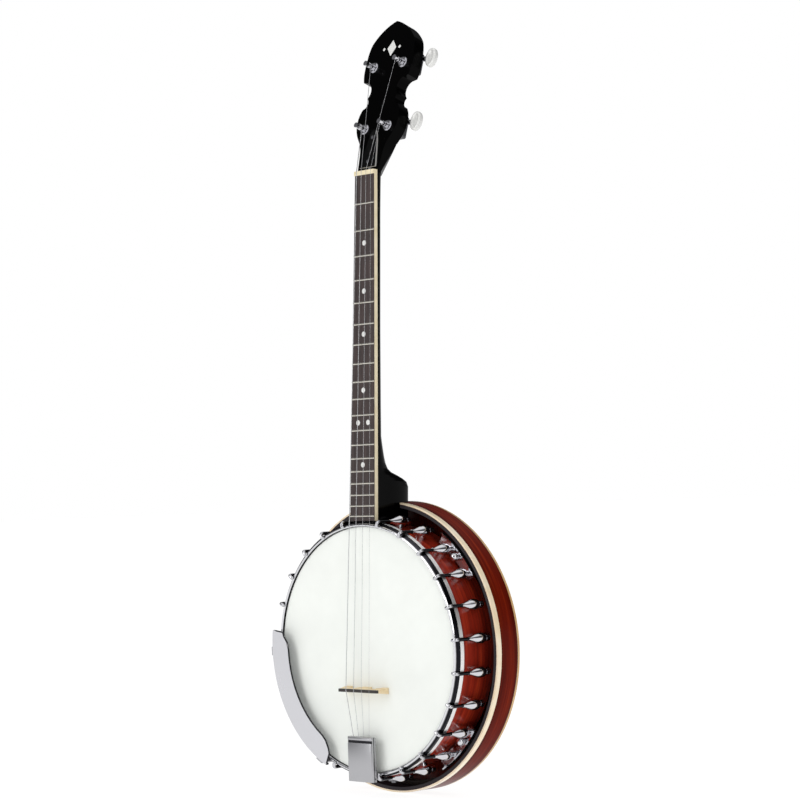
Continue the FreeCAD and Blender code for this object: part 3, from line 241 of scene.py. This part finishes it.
# the dark shank colour is a painted reflection, not a darker plating
shade = add(tree, "ShaderNodeMix",
            {"Factor": painted_dark_shank, "A": linear("#c6c6ca"), "B": linear("#2a2a2e")}, data_type="RGBA")
tree.links.new(rough.outputs["Result"], shader.inputs["Roughness"])
tree.links.new(shade.outputs["Result"], shader.inputs["Base Color"])
shader.inputs["Metallic"].default_value = 1.0
coat(hook_plate, "bracket_hooks")

# ---- Fasteners inside the pot -----------------------------------------------------------------
# Screws, nuts, rod and lugs are plain drawn steel.  They are never polished, so they look grey and
# a little blotchy.
plain_steel, tree, shader = finish("plain_steel")
where = add(tree, "ShaderNodeTexCoord", {}).outputs["Object"]
blotch = add(tree, "ShaderNodeTexNoise", {"Vector": where, "Scale": 220.0, "Detail": 5.0})
rough = add(tree, "ShaderNodeMapRange",
            {"Value": blotch.outputs["Fac"], "To Min": 0.28, "To Max": 0.50})
shade = blend_of(tree, blotch.outputs["Fac"], [(0.35, "#6f6f72"), (0.70, "#8c8c8f")])
tree.links.new(rough.outputs["Result"], shader.inputs["Roughness"])
tree.links.new(shade, shader.inputs["Base Color"])
shader.inputs["Metallic"].default_value = 1.0
coat(plain_steel, "shoe_screws", "coordinator_rod", "rod_nuts", "neck_lag_bolt", "tail_stud",
     "resonator_lugs", "truss_rod", "tailpiece_pin")

# ---- Resonator --------------------------------------------------------------------------------
# Bent plywood with a mahogany veneer outside and black inside and on the front edge, under a thick
# gloss lacquer shaded darker at both edges.  The arched back is one pressed veneer panel.  Grain
# lines are about 5 mm apart on the side and 2 mm on the back, coarser than real ones so they show.

# the wall shows veneer outside this radius and black inside it, and its shading fades between these
# depths at its front edge and at its back edge
veneer_radius = 0.1612
front_dark, front_clear = -0.0410, -0.0330
rear_clear, rear_dark = -0.0230, -0.0145
resonator_lacquer, tree, shader = finish("lacquered_mahogany_veneer")
where = add(tree, "ShaderNodeTexCoord", {}).outputs["Object"]
along = add(tree, "ShaderNodeMapping",
            {"Vector": where, "Scale": (7.0, 190.0, 7.0)}).outputs["Vector"]
grain = add(tree, "ShaderNodeTexNoise",
            {"Vector": along, "Scale": 1.0, "Detail": 6.0, "Roughness": 0.62})
shade = blend_of(tree, grain.outputs["Fac"],
                 [(0.30, "#4c0d04"), (0.52, "#691708"), (0.78, "#8f2e0f")])
parts = add(tree, "ShaderNodeSeparateXYZ", {"Vector": where})
flat = add(tree, "ShaderNodeCombineXYZ", {"X": parts.outputs["X"], "Z": parts.outputs["Z"]})
radius = add(tree, "ShaderNodeVectorMath", {0: flat.outputs["Vector"]}, operation="LENGTH")
outside = add(tree, "ShaderNodeMath", {0: radius.outputs["Value"], 1: veneer_radius},
              operation="GREATER_THAN")
paint = add(tree, "ShaderNodeMix", {"Factor": outside.outputs["Value"], "A": linear("#4a4b4f"),
                                    "B": shade}, data_type="RGBA")
edge_shade = add(tree, "ShaderNodeMapRange", {"Value": parts.outputs["Y"], "From Min": front_dark,
                                              "From Max": front_clear, "To Min": 0.55,
                                              "To Max": 1.0}).outputs["Result"]
rear_shade = add(tree, "ShaderNodeMapRange", {"Value": parts.outputs["Y"], "From Min": rear_clear,
                                              "From Max": rear_dark, "To Min": 1.0,
                                              "To Max": 0.55}).outputs["Result"]
burst = add(tree, "ShaderNodeMath", {0: edge_shade, 1: rear_shade}, operation="MULTIPLY")
dark = add(tree, "ShaderNodeMix", {"Factor": burst.outputs["Value"], "A": linear("#200605"),
                                   "B": paint.outputs["Result"]}, data_type="RGBA")
tree.links.new(dark.outputs["Result"], shader.inputs["Base Color"])
gloss = add(tree, "ShaderNodeMapRange", {"Value": outside.outputs["Value"], "To Min": 0.55,
                                         "To Max": 0.26})
tree.links.new(gloss.outputs["Result"], shader.inputs["Roughness"])
shader.inputs["Specular IOR Level"].default_value = 0.035
coat(resonator_lacquer, "resonator_side")

# the back's grain runs straight up the panel, and its shading goes round the arch between these
# radii
clear_radius, dark_radius = 0.105, 0.163
back_lacquer, tree, shader = finish("lacquered_mahogany_panel")
where = add(tree, "ShaderNodeTexCoord", {}).outputs["Object"]
along = add(tree, "ShaderNodeMapping",
            {"Vector": where, "Scale": (430.0, 40.0, 9.0)}).outputs["Vector"]
grain = add(tree, "ShaderNodeTexNoise",
            {"Vector": along, "Scale": 1.0, "Detail": 7.0, "Roughness": 0.62})
shade = blend_of(tree, grain.outputs["Fac"],
                 [(0.30, "#5c130a"), (0.52, "#84240f"), (0.78, "#ab441f")])
parts = add(tree, "ShaderNodeSeparateXYZ", {"Vector": where})
flat = add(tree, "ShaderNodeCombineXYZ", {"X": parts.outputs["X"], "Z": parts.outputs["Z"]})
radius = add(tree, "ShaderNodeVectorMath", {0: flat.outputs["Vector"]}, operation="LENGTH")
burst = add(tree, "ShaderNodeMapRange", {"Value": radius.outputs["Value"], "From Min": clear_radius,
                                         "From Max": dark_radius, "To Min": 0.0, "To Max": 0.8},
            interpolation_type="SMOOTHSTEP")
dark = add(tree, "ShaderNodeMix", {"Factor": burst.outputs["Result"], "A": shade,
                                   "B": linear("#1c0504")}, data_type="RGBA")
tree.links.new(dark.outputs["Result"], shader.inputs["Base Color"])
shader.inputs["Roughness"].default_value = 0.28
shader.inputs["Specular IOR Level"].default_value = 0.20
shader.inputs["Coat Weight"].default_value = 0.25
shader.inputs["Coat Roughness"].default_value = 0.05
coat(back_lacquer, "resonator_back")

# the lining inside is basswood, stained dark and left unpolished
lining_stain, tree, shader = finish("stained_lining_wood")
where = add(tree, "ShaderNodeTexCoord", {}).outputs["Object"]
grain = add(tree, "ShaderNodeTexNoise", {"Vector": where, "Scale": 300.0, "Detail": 5.0})
shade = blend_of(tree, grain.outputs["Fac"], [(0.3, "#1c1410"), (0.7, "#352820")])
tree.links.new(shade, shader.inputs["Base Color"])
shader.inputs["Roughness"].default_value = 0.75
coat(lining_stain, "resonator_lining")

# ---- Bindings ---------------------------------------------------------------------------------
# Strips of cream celluloid, glued into rebates and scraped flush.  The lacquer over them has
# yellowed, so they look golden where they curve away.
celluloid, tree, shader = finish("cream_celluloid")
where = add(tree, "ShaderNodeTexCoord", {}).outputs["Object"]
cloud = add(tree, "ShaderNodeTexNoise", {"Vector": where, "Scale": 60.0, "Detail": 3.0})
shade = blend_of(tree, cloud.outputs["Fac"], [(0.3, "#f6dfb8"), (0.7, "#fff0d6")])
tree.links.new(shade, shader.inputs["Base Color"])
shader.inputs["Roughness"].default_value = 0.28
shader.inputs["Coat Weight"].default_value = 0.7
shader.inputs["Coat Roughness"].default_value = 0.06
coat(celluloid, "resonator_front_binding")

# the back's binding was sprayed over with the back's shading, so it has an amber cast
amber_celluloid, tree, shader = finish("ambered_celluloid")
where = add(tree, "ShaderNodeTexCoord", {}).outputs["Object"]
cloud = add(tree, "ShaderNodeTexNoise", {"Vector": where, "Scale": 60.0, "Detail": 3.0})
shade = blend_of(tree, cloud.outputs["Fac"], [(0.3, "#c79a62"), (0.7, "#d9b27c")])
tree.links.new(shade, shader.inputs["Base Color"])
shader.inputs["Roughness"].default_value = 0.30
shader.inputs["Coat Weight"].default_value = 0.4
shader.inputs["Coat Roughness"].default_value = 0.06
coat(amber_celluloid, "resonator_back_binding")

# the nut is moulded in a paler cream
neck_celluloid, tree, shader = finish("pale_cream_celluloid")
where = add(tree, "ShaderNodeTexCoord", {}).outputs["Object"]
cloud = add(tree, "ShaderNodeTexNoise", {"Vector": where, "Scale": 90.0, "Detail": 3.0})
shade = blend_of(tree, cloud.outputs["Fac"], [(0.3, "#e2d3ae"), (0.7, "#efe3c4")])
tree.links.new(shade, shader.inputs["Base Color"])
shader.inputs["Roughness"].default_value = 0.35
coat(neck_celluloid, "nut")

# the fingerboard's binding shows only along its sides; its narrow top is stained to match the board
side_celluloid, tree, shader = finish("stained_top_celluloid")
where = add(tree, "ShaderNodeTexCoord", {}).outputs["Object"]
normal = add(tree, "ShaderNodeNewGeometry", {}).outputs["Normal"]
facing = add(tree, "ShaderNodeSeparateXYZ", {"Vector": normal})
on_top = add(tree, "ShaderNodeMath", {0: facing.outputs["Y"], 1: -0.5},
             operation="LESS_THAN").outputs["Value"]
cloud = add(tree, "ShaderNodeTexNoise", {"Vector": where, "Scale": 90.0, "Detail": 3.0})
side_shade = blend_of(tree, cloud.outputs["Fac"], [(0.3, "#e2d3ae"), (0.7, "#efe3c4")])
shade = add(tree, "ShaderNodeMix", {"Factor": on_top, "A": side_shade, "B": linear("#2c1e1c")},
            data_type="RGBA")
tree.links.new(shade.outputs["Result"], shader.inputs["Base Color"])
shader.inputs["Roughness"].default_value = 0.38
coat(side_celluloid, "fingerboard_binding")

# ---- Neck and peghead -------------------------------------------------------------------------
# Maple sprayed black and buffed to a mirror.  Only its highlights show, with very slight waviness.
black_lacquer, tree, shader = finish("buffed_black_lacquer")
where = add(tree, "ShaderNodeTexCoord", {}).outputs["Object"]
wave = add(tree, "ShaderNodeTexNoise", {"Vector": where, "Scale": 40.0, "Detail": 2.0})
rough = add(tree, "ShaderNodeMapRange",
            {"Value": wave.outputs["Fac"], "To Min": 0.10, "To Max": 0.18})
tree.links.new(rough.outputs["Result"], shader.inputs["Roughness"])
shader.inputs["Base Color"].default_value = linear("#020202")
shader.inputs["Specular IOR Level"].default_value = 0.035
coat(black_lacquer, "neck", "peghead_overlay")

# the truss-rod cover is black plastic with a white core that shows along its bevelled edge; the
# white bevel also stands in for a painted highlight along the cover's edge
cover_ply, tree, shader = finish("three_ply_cover_painted_edge_highlight")
where = add(tree, "ShaderNodeTexCoord", {}).outputs["Object"]
normal = add(tree, "ShaderNodeNewGeometry", {}).outputs["Normal"]
facing = add(tree, "ShaderNodeSeparateXYZ", {"Vector": normal})
slope = add(tree, "ShaderNodeMath", {0: facing.outputs["Y"]}, operation="ABSOLUTE").outputs["Value"]
edge = add(tree, "ShaderNodeMath", {0: slope, 1: 0.5}, operation="LESS_THAN").outputs["Value"]
scuff = add(tree, "ShaderNodeTexNoise", {"Vector": where, "Scale": 150.0, "Detail": 3.0})
rough = add(tree, "ShaderNodeMapRange",
            {"Value": scuff.outputs["Fac"], "To Min": 0.16, "To Max": 0.30})
# the pale bevel colour is partly the white core and partly a painted highlight
shade = add(tree, "ShaderNodeMix", {"Factor": edge, "A": linear("#050505"), "B": linear("#c9c8c4")},
            data_type="RGBA")
tree.links.new(rough.outputs["Result"], shader.inputs["Roughness"])
tree.links.new(shade.outputs["Result"], shader.inputs["Base Color"])
shader.inputs["Specular IOR Level"].default_value = 0.15
coat(cover_ply, "truss_rod_cover")

# ---- Fingerboard ------------------------------------------------------------------------------
# A strip of dark rosewood, planed and oiled.  Its open pores and streaks, about 2 mm wide, run up
# the neck, and it has only a dull sheen.
oiled_rosewood, tree, shader = finish("oiled_rosewood")
where = add(tree, "ShaderNodeTexCoord", {}).outputs["Object"]
along = add(tree, "ShaderNodeMapping",
            {"Vector": where, "Scale": (420.0, 420.0, 16.0)}).outputs["Vector"]
streak = add(tree, "ShaderNodeTexNoise",
             {"Vector": along, "Scale": 1.0, "Detail": 6.0, "Roughness": 0.7})
shade = blend_of(tree, streak.outputs["Fac"],
                 [(0.30, "#180e0d"), (0.50, "#2f201e"), (0.75, "#483532")])
bump = add(tree, "ShaderNodeBump",
           {"Height": streak.outputs["Fac"], "Strength": 0.35, "Distance": 0.0002})
tree.links.new(shade, shader.inputs["Base Color"])
tree.links.new(bump.outputs["Normal"], shader.inputs["Normal"])
shader.inputs["Roughness"].default_value = 0.45
coat(oiled_rosewood, "fingerboard")

# ---- Frets ------------------------------------------------------------------------------------
# Nickel-silver wire, levelled and polished along its crown.
fret_wire, tree, shader = finish("polished_nickel_silver")
where = add(tree, "ShaderNodeTexCoord", {}).outputs["Object"]
file_marks = add(tree, "ShaderNodeTexNoise", {"Vector": where, "Scale": 700.0, "Detail": 2.0})
rough = add(tree, "ShaderNodeMapRange",
            {"Value": file_marks.outputs["Fac"], "To Min": 0.15, "To Max": 0.30})
tree.links.new(rough.outputs["Result"], shader.inputs["Roughness"])
shader.inputs["Base Color"].default_value = linear("#d6d2c8")
shader.inputs["Metallic"].default_value = 1.0
coat(fret_wire, "frets")

# ---- Pearloid dots and inlay ------------------------------------------------------------------
# White celluloid with pearl flakes: pale cells about 4 mm wide, with a soft shift between milk
# white and grey.  The tuner buttons below are moulded from it too.
pearloid, tree, shader = finish("pearloid")
where = add(tree, "ShaderNodeTexCoord", {}).outputs["Object"]
warp = add(tree, "ShaderNodeTexNoise", {"Vector": where, "Scale": 120.0, "Detail": 2.0})
mixed = add(tree, "ShaderNodeMix", {"Factor": 0.06, "A": where, "B": warp.outputs["Color"]},
            data_type="VECTOR")
flakes = add(tree, "ShaderNodeTexVoronoi", {"Vector": mixed.outputs["Result"], "Scale": 260.0})
shade = blend_of(tree, flakes.outputs["Color"],
                 [(0.10, "#d6d6d4"), (0.55, "#e4e4e1"), (0.95, "#f2f2ef")])
tree.links.new(shade, shader.inputs["Base Color"])
shader.inputs["Roughness"].default_value = 0.22
shader.inputs["Coat Weight"].default_value = 0.6
shader.inputs["Coat Roughness"].default_value = 0.05
coat(pearloid, "position_dots", "peghead_inlay")

# ---- Tuners -----------------------------------------------------------------------------------
# Cast housings in satin nickel, with chromed posts, bushings and worm shafts.
satin_nickel, tree, shader = finish("satin_nickel")
where = add(tree, "ShaderNodeTexCoord", {}).outputs["Object"]
cast = add(tree, "ShaderNodeTexNoise", {"Vector": where, "Scale": 500.0, "Detail": 4.0})
rough = add(tree, "ShaderNodeMapRange",
            {"Value": cast.outputs["Fac"], "To Min": 0.25, "To Max": 0.40})
tree.links.new(rough.outputs["Result"], shader.inputs["Roughness"])
shader.inputs["Base Color"].default_value = linear("#5a5a5d")
shader.inputs["Metallic"].default_value = 1.0
coat(satin_nickel, "tuner_housings", "housing_screws")
coat(chrome_plate, "tuner_bushings", "truss_cover_screws",
     *["tuner_post_%d" % k for k in (1, 2, 3, 4)], *["tuner_shaft_%d" % k for k in (1, 2, 3, 4)])

# each button is a moulded oval with soft edges and a shallow dish in both faces, so it is easy to
# grip; its faces follow the peghead, which leans back by the neck's 3.0 and its own 14.3 degrees
mm = 0.001
peghead_lean = math.radians(17.3)
half_thickness, half_width, half_length = 3.6 * mm, 7.9 * mm, 11.6 * mm
land, flare, floor_inset = 2.6 * mm, 1.8 * mm, 1.6 * mm
dish, floor_dip, edge_radius = 0.9 * mm, 0.2 * mm, 2.4 * mm


def pick(piece, wanted, kind="FACE"):
    """In edit mode, select the faces or edges that a test of centre and direction wants."""
    mesh = bmesh.from_edit_mesh(piece.data)
    bpy.ops.mesh.select_mode(type=kind)
    bpy.ops.mesh.select_all(action="DESELECT")
    mesh.normal_update()
    for part in mesh.faces if kind == "FACE" else mesh.edges:
        if kind == "FACE":
            part.select_set(bool(wanted(part.calc_center_median(), part.normal)))
        else:
            a, b = (corner.co for corner in part.verts)
            part.select_set(bool(wanted((a + b) / 2, (b - a).normalized())))
    mesh.select_flush_mode()
    bmesh.update_edit_mesh(piece.data)


bpy.ops.object.select_all(action="DESELECT")
bpy.ops.mesh.primitive_cylinder_add(vertices=32, radius=1, depth=2 * half_thickness,
                                    rotation=(math.radians(90), 0, 0))
oval = bpy.context.object
bpy.ops.object.transform_apply(location=True, rotation=True, scale=True)
bpy.ops.object.mode_set(mode="EDIT")
bpy.ops.mesh.select_all(action="SELECT")
bpy.ops.transform.resize(value=(half_width, 1, half_length))
pick(oval, lambda c, n: abs(n.y) > 0.9)
bpy.ops.mesh.inset(thickness=land, depth=0)
bpy.ops.transform.resize(value=(1, 0.94, 1))
bpy.ops.mesh.inset(thickness=flare, depth=-dish)
bpy.ops.mesh.inset(thickness=floor_inset, depth=-floor_dip)
pick(oval, lambda c, d: abs(abs(c.y) - half_thickness) < 0.05 * mm and abs(d.y) < 0.1
     and (c.x / half_width) ** 2 + (c.z / half_length) ** 2 > 0.95, "EDGE")
bpy.ops.mesh.bevel(offset=edge_radius, segments=4, affect="EDGES")
bpy.ops.mesh.select_all(action="SELECT")
bpy.ops.mesh.normals_make_consistent(inside=False)
bpy.ops.object.mode_set(mode="OBJECT")
round_off = oval.modifiers.new("round_off", "SUBSURF")
round_off.levels = round_off.render_levels = 1
bpy.ops.object.modifier_apply(modifier="round_off")
bpy.ops.object.shade_smooth_by_angle(angle=math.radians(60))
oval.data.materials.append(pearloid)
moulded = oval.data
bpy.data.objects.remove(oval)
lean_back = Matrix.Rotation(-peghead_lean, 4, "X")
for k in (1, 2, 3, 4):
    low, high = [Vector(corner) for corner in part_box("tuner_button_%d" % k)]
    button = bpy.data.objects.new("tuner_button_oval_%d" % k, moulded.copy())
    bpy.context.scene.collection.objects.link(button)
    button.data.transform(Matrix.Translation((low + high) / 2) @ lean_back)
    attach(button, "button_%d" % k)
    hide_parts("tuner_button_%d" % k)
bpy.data.meshes.remove(moulded)

# ---- Strings ----------------------------------------------------------------------------------
# Drawn steel wire.  A fine banding in its shine stands for the wrap of the wound string.
drawn_wire, tree, shader = finish("drawn_steel_wire")
where = add(tree, "ShaderNodeTexCoord", {}).outputs["Object"]
wrap = add(tree, "ShaderNodeTexWave", {"Vector": where, "Scale": 300.0}, bands_direction="Z")
rough = add(tree, "ShaderNodeMapRange",
            {"Value": wrap.outputs["Fac"], "To Min": 0.18, "To Max": 0.35})
tree.links.new(rough.outputs["Result"], shader.inputs["Roughness"])
shader.inputs["Base Color"].default_value = linear("#c4c4c6")
shader.inputs["Metallic"].default_value = 1.0
coat(drawn_wire, "strings")

# ---- Bridge -----------------------------------------------------------------------------------
# A maple body on three feet with an ebony cap glued along its top.
bare_maple, tree, shader = finish("bare_maple")
where = add(tree, "ShaderNodeTexCoord", {}).outputs["Object"]
along = add(tree, "ShaderNodeMapping",
            {"Vector": where, "Scale": (18.0, 300.0, 300.0)}).outputs["Vector"]
grain = add(tree, "ShaderNodeTexNoise",
            {"Vector": along, "Scale": 1.0, "Detail": 6.0, "Roughness": 0.6})
shade = blend_of(tree, grain.outputs["Fac"], [(0.3, "#dcc193"), (0.7, "#f2dfb8")])
tree.links.new(shade, shader.inputs["Base Color"])
shader.inputs["Roughness"].default_value = 0.5
coat(bare_maple, "bridge_body")

ebony, tree, shader = finish("polished_ebony")
where = add(tree, "ShaderNodeTexCoord", {}).outputs["Object"]
along = add(tree, "ShaderNodeMapping",
            {"Vector": where, "Scale": (25.0, 500.0, 500.0)}).outputs["Vector"]
grain = add(tree, "ShaderNodeTexNoise", {"Vector": along, "Scale": 1.0, "Detail": 5.0})
shade = blend_of(tree, grain.outputs["Fac"], [(0.3, "#0b0908"), (0.75, "#2a211c")])
tree.links.new(shade, shader.inputs["Base Color"])
shader.inputs["Roughness"].default_value = 0.32
coat(ebony, "bridge_cap")

# ---- Tailpiece and armrest --------------------------------------------------------------------
# Pressed steel sheet, plated and lightly brushed before plating, so it reads as soft silver grey.
pressed_plate, tree, shader = finish("plated_pressed_sheet")
where = add(tree, "ShaderNodeTexCoord", {}).outputs["Object"]
cloud = add(tree, "ShaderNodeTexNoise", {"Vector": where, "Scale": 30.0, "Detail": 3.0})
rough = add(tree, "ShaderNodeMapRange",
            {"Value": cloud.outputs["Fac"], "To Min": 0.30, "To Max": 0.42})
tree.links.new(rough.outputs["Result"], shader.inputs["Roughness"])
shader.inputs["Base Color"].default_value = linear("#b0b0b3")
shader.inputs["Metallic"].default_value = 1.0
coat(pressed_plate, "tailpiece_base", "tailpiece_hanger", "armrest_legs")

# the armrest's face is satin plate, and the faces that turn away from the front are coloured dark
# as painted shade
rest_plate, tree, shader = finish("satin_plated_armrest_painted_dark_edge")
where = add(tree, "ShaderNodeTexCoord", {}).outputs["Object"]
normal = add(tree, "ShaderNodeNewGeometry", {}).outputs["Normal"]
facing = add(tree, "ShaderNodeSeparateXYZ", {"Vector": normal})
slope = add(tree, "ShaderNodeMath", {0: facing.outputs["Y"]}, operation="ABSOLUTE").outputs["Value"]
edge = add(tree, "ShaderNodeMath", {0: slope, 1: 0.45}, operation="LESS_THAN").outputs["Value"]
cloud = add(tree, "ShaderNodeTexNoise", {"Vector": where, "Scale": 26.0, "Detail": 3.0})
rough = add(tree, "ShaderNodeMapRange",
            {"Value": cloud.outputs["Fac"], "To Min": 0.24, "To Max": 0.36})
# the dark colour on the edge faces is painted shade
shade = add(tree, "ShaderNodeMix", {"Factor": edge, "A": linear("#d0d0d4"), "B": linear("#202022")},
            data_type="RGBA")
tree.links.new(rough.outputs["Result"], shader.inputs["Roughness"])
tree.links.new(shade.outputs["Result"], shader.inputs["Base Color"])
shader.inputs["Metallic"].default_value = 1.0
coat(rest_plate, "armrest")

# the inner edge and both ends of the armrest are hemmed: a thin bead runs along them, coloured
# dark as painted shade, through points that are each a radius in millimetres and an angle in
# degrees from the neck
rest_front = Vector(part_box("armrest")[0]).y
bead_radius, bead_sink, inner_step = 0.95 * mm, 0.75 * mm, 5.52
bead_points = [(139.0, -82.4), (132.0, -82.4), (127.5, -82.5), (125.5, -84.5), (120.0, -87.3)]
bead_points += [(117.7, -91.3)]
bead_points += [(117.6, -91.3 - step * inner_step) for step in range(1, 10)]
bead_points += [(117.7, -146.5), (119.6, -150.0), (125.5, -153.7), (130.0, -155.2)]
bead_points += [(136.5, -155.3), (142.0, -155.3)]
wire = bpy.data.curves.new("armrest_bead", "CURVE")
wire.dimensions, wire.use_fill_caps = "3D", True
wire.bevel_depth, wire.bevel_resolution = bead_radius, 3
run = wire.splines.new("POLY")
run.points.add(len(bead_points) - 1)
for point, (radius, angle) in zip(run.points, bead_points):
    turn = math.radians(angle)
    point.co = (radius * mm * math.sin(turn), rest_front + bead_sink, radius * mm * math.cos(turn),
                1)
bead = bpy.data.objects.new("armrest_bead", wire)
bpy.context.scene.collection.objects.link(bead)
bpy.ops.object.select_all(action="DESELECT")
bead.select_set(True)
bpy.context.view_layer.objects.active = bead
bpy.ops.object.convert(target="MESH")
bpy.ops.object.shade_smooth_by_angle(angle=math.radians(40))
# the trim's dark colour is painted shade, not a darker plating; the lid's groove and side lines use
# it too
painted_shade_trim, tree, shader = finish("painted_shade_dark_trim")
where = add(tree, "ShaderNodeTexCoord", {}).outputs["Object"]
wipe = add(tree, "ShaderNodeTexNoise", {"Vector": where, "Scale": 200.0, "Detail": 3.0})
rough = add(tree, "ShaderNodeMapRange",
            {"Value": wipe.outputs["Fac"], "To Min": 0.18, "To Max": 0.34})
tree.links.new(rough.outputs["Result"], shader.inputs["Roughness"])
shader.inputs["Base Color"].default_value = linear("#2c2c2f")
shader.inputs["Metallic"].default_value = 1.0
bead.data.materials.append(painted_shade_trim)
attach(bead, "banjo")

# the lid is a new shell: open underneath, with its long edges rounded and a groove behind its front
# lip; near is how close a face or an edge has to be to a plane to be picked
near, corner_radius, groove_depth = 0.1 * mm, 2.4 * mm, 0.6 * mm
lip, groove, flank = 2.8 * mm, 3.0 * mm, 1.0 * mm
seam, gap = 3.4 * mm, 1.1 * mm
sheet_wall, edge_softness = 1.0 * mm, 0.25 * mm
lid_low, lid_high = [Vector(corner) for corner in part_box("tailpiece_cover")]
middle, size = (lid_low + lid_high) / 2, lid_high - lid_low
bpy.ops.object.select_all(action="DESELECT")
bpy.ops.mesh.primitive_cube_add(size=1, location=middle, scale=size)
lid = bpy.context.object
lid.name = "tailpiece_lid_shell"
bpy.ops.object.transform_apply(location=True, rotation=True, scale=True)
bpy.ops.object.mode_set(mode="EDIT")
pick(lid, lambda c, n: n.y > 0.9 or n.z < -0.9)
bpy.ops.mesh.delete(type="FACE")
pick(lid, lambda c, d: c.y < lid_low.y + near and (abs(d.z) > 0.9 or c.z > lid_high.z - near),
     "EDGE")
bpy.ops.mesh.bevel(offset=corner_radius, segments=5, affect="EDGES")
for step in (lip, lip + flank, lip + flank + groove, lip + 2 * flank + groove):
    bpy.ops.mesh.select_all(action="SELECT")
    bpy.ops.mesh.bisect(plane_co=(0, 0, lid_high.z - step), plane_no=(0, 0, 1))
groove_top = lid_high.z - lip - flank
pick(lid, lambda c, n: abs(n.y) > 0.5 and groove_top - groove - near < c.z < groove_top + near)
bpy.ops.transform.translate(value=(0, groove_depth, 0))
for step in (seam, seam + gap):
    bpy.ops.mesh.select_all(action="SELECT")
    bpy.ops.mesh.bisect(plane_co=(0, lid_low.y + step, 0), plane_no=(0, 1, 0))
bpy.ops.object.mode_set(mode="OBJECT")
wall = lid.modifiers.new("sheet", "SOLIDIFY")
wall.thickness, wall.offset = sheet_wall, -1
bpy.ops.object.modifier_apply(modifier="sheet")
soft = lid.modifiers.new("soft_edges", "BEVEL")
soft.width, soft.segments = edge_softness, 2
soft.limit_method, soft.angle_limit = "ANGLE", math.radians(50)
bpy.ops.object.modifier_apply(modifier="soft_edges")
bpy.ops.object.shade_smooth_by_angle(angle=math.radians(35))
lid.data.materials.append(pressed_plate)
lid.data.materials.append(painted_shade_trim)
# the groove behind the lip and a narrow line along each side at the seam take the dark trim:
# painted shade
sunk = groove_top - groove / 2
for face in lid.data.polygons:
    on_groove = abs(face.center.z - sunk) < groove / 2 + 2 * near and face.normal.y < -0.5
    on_seam = abs(face.normal.x) > 0.5 and abs(face.center.y - lid_low.y - seam - gap / 2) < gap / 2
    if on_groove or on_seam:
        face.material_index = 1
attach(lid, "tailpiece_lid")
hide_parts("tailpiece_cover")

# ---- Floor, light and camera ------------------------------------------------------------------
# A white studio floor and backdrop with two soft boxes.  Reflections see a room with a grey and a
# dark band above the horizon, which gives the bright plate something to mirror.
bpy.context.scene.view_settings.view_transform = "Standard"
under_object = cad_box[0][2] - 0.001
bpy.ops.mesh.primitive_plane_add(size=60, location=(0, 0, under_object))
floor = bpy.context.object
floor.name = "floor"
paper, tree, shader = finish("studio_paper")
shader.inputs["Base Color"].default_value = linear("#6e6e6e")
shader.inputs["Roughness"].default_value = 0.9
shader.inputs["Emission Color"].default_value = linear("#ffffff")
shader.inputs["Emission Strength"].default_value = 0.92
floor.data.materials.append(paper)

world = bpy.data.worlds.new("studio")
bpy.context.scene.world = world
world.use_nodes = True
tree = world.node_tree
tree.nodes.clear()
direction = add(tree, "ShaderNodeTexCoord", {}).outputs["Generated"]
height = add(tree, "ShaderNodeSeparateXYZ", {"Vector": direction}).outputs["Z"]
sky = blend_of(tree, height,
               [(0.0, "#ffffff"), (0.06, "#ffffff"), (0.16, "#6e6e70"), (0.42, "#2c2c2e"),
                (0.62, "#8c8c8e"), (0.80, "#ffffff")])
backdrop = add(tree, "ShaderNodeBackground", {"Color": sky, "Strength": 1.0})
white_wall = add(tree, "ShaderNodeBackground", {"Color": linear("#ffffff"), "Strength": 1.0})
seen = add(tree, "ShaderNodeLightPath", {}).outputs["Is Camera Ray"]
room = tree.nodes.new("ShaderNodeMixShader")
tree.links.new(seen, room.inputs[0])
tree.links.new(backdrop.outputs["Background"], room.inputs[1])
tree.links.new(white_wall.outputs["Background"], room.inputs[2])
surround = tree.nodes.new("ShaderNodeOutputWorld")
tree.links.new(room.outputs["Shader"], surround.inputs["Surface"])


def soft_box(name, place, target, width, height, power):
    """A rectangular light facing its target."""
    lamp = bpy.data.lights.new(name, "AREA")
    lamp.shape = "RECTANGLE"
    lamp.size, lamp.size_y, lamp.energy = width, height, power
    box = bpy.data.objects.new(name, lamp)
    bpy.context.scene.collection.objects.link(box)
    box.location = place
    box.rotation_euler = (Vector(target) - Vector(place)).to_track_quat("-Z", "Y").to_euler()


soft_box("key", (-0.9, -2.6, 1.3), (0, 0, 0.15), 1.5, 1.8, 30)
soft_box("side", (2.8, -1.2, 1.4), (0, 0, 0.1), 0.6, 1.6, 14)

lens = bpy.data.cameras.new("camera")
lens.sensor_width = 36
lens.lens = 108.35
camera = bpy.data.objects.new("camera", lens)
bpy.context.scene.collection.objects.link(camera)
camera.location = (1.9416, -1.9626, 0.1785)
camera.rotation_euler = [math.radians(a) for a in (92.096, 1.851, 45.072)]
bpy.context.scene.camera = camera
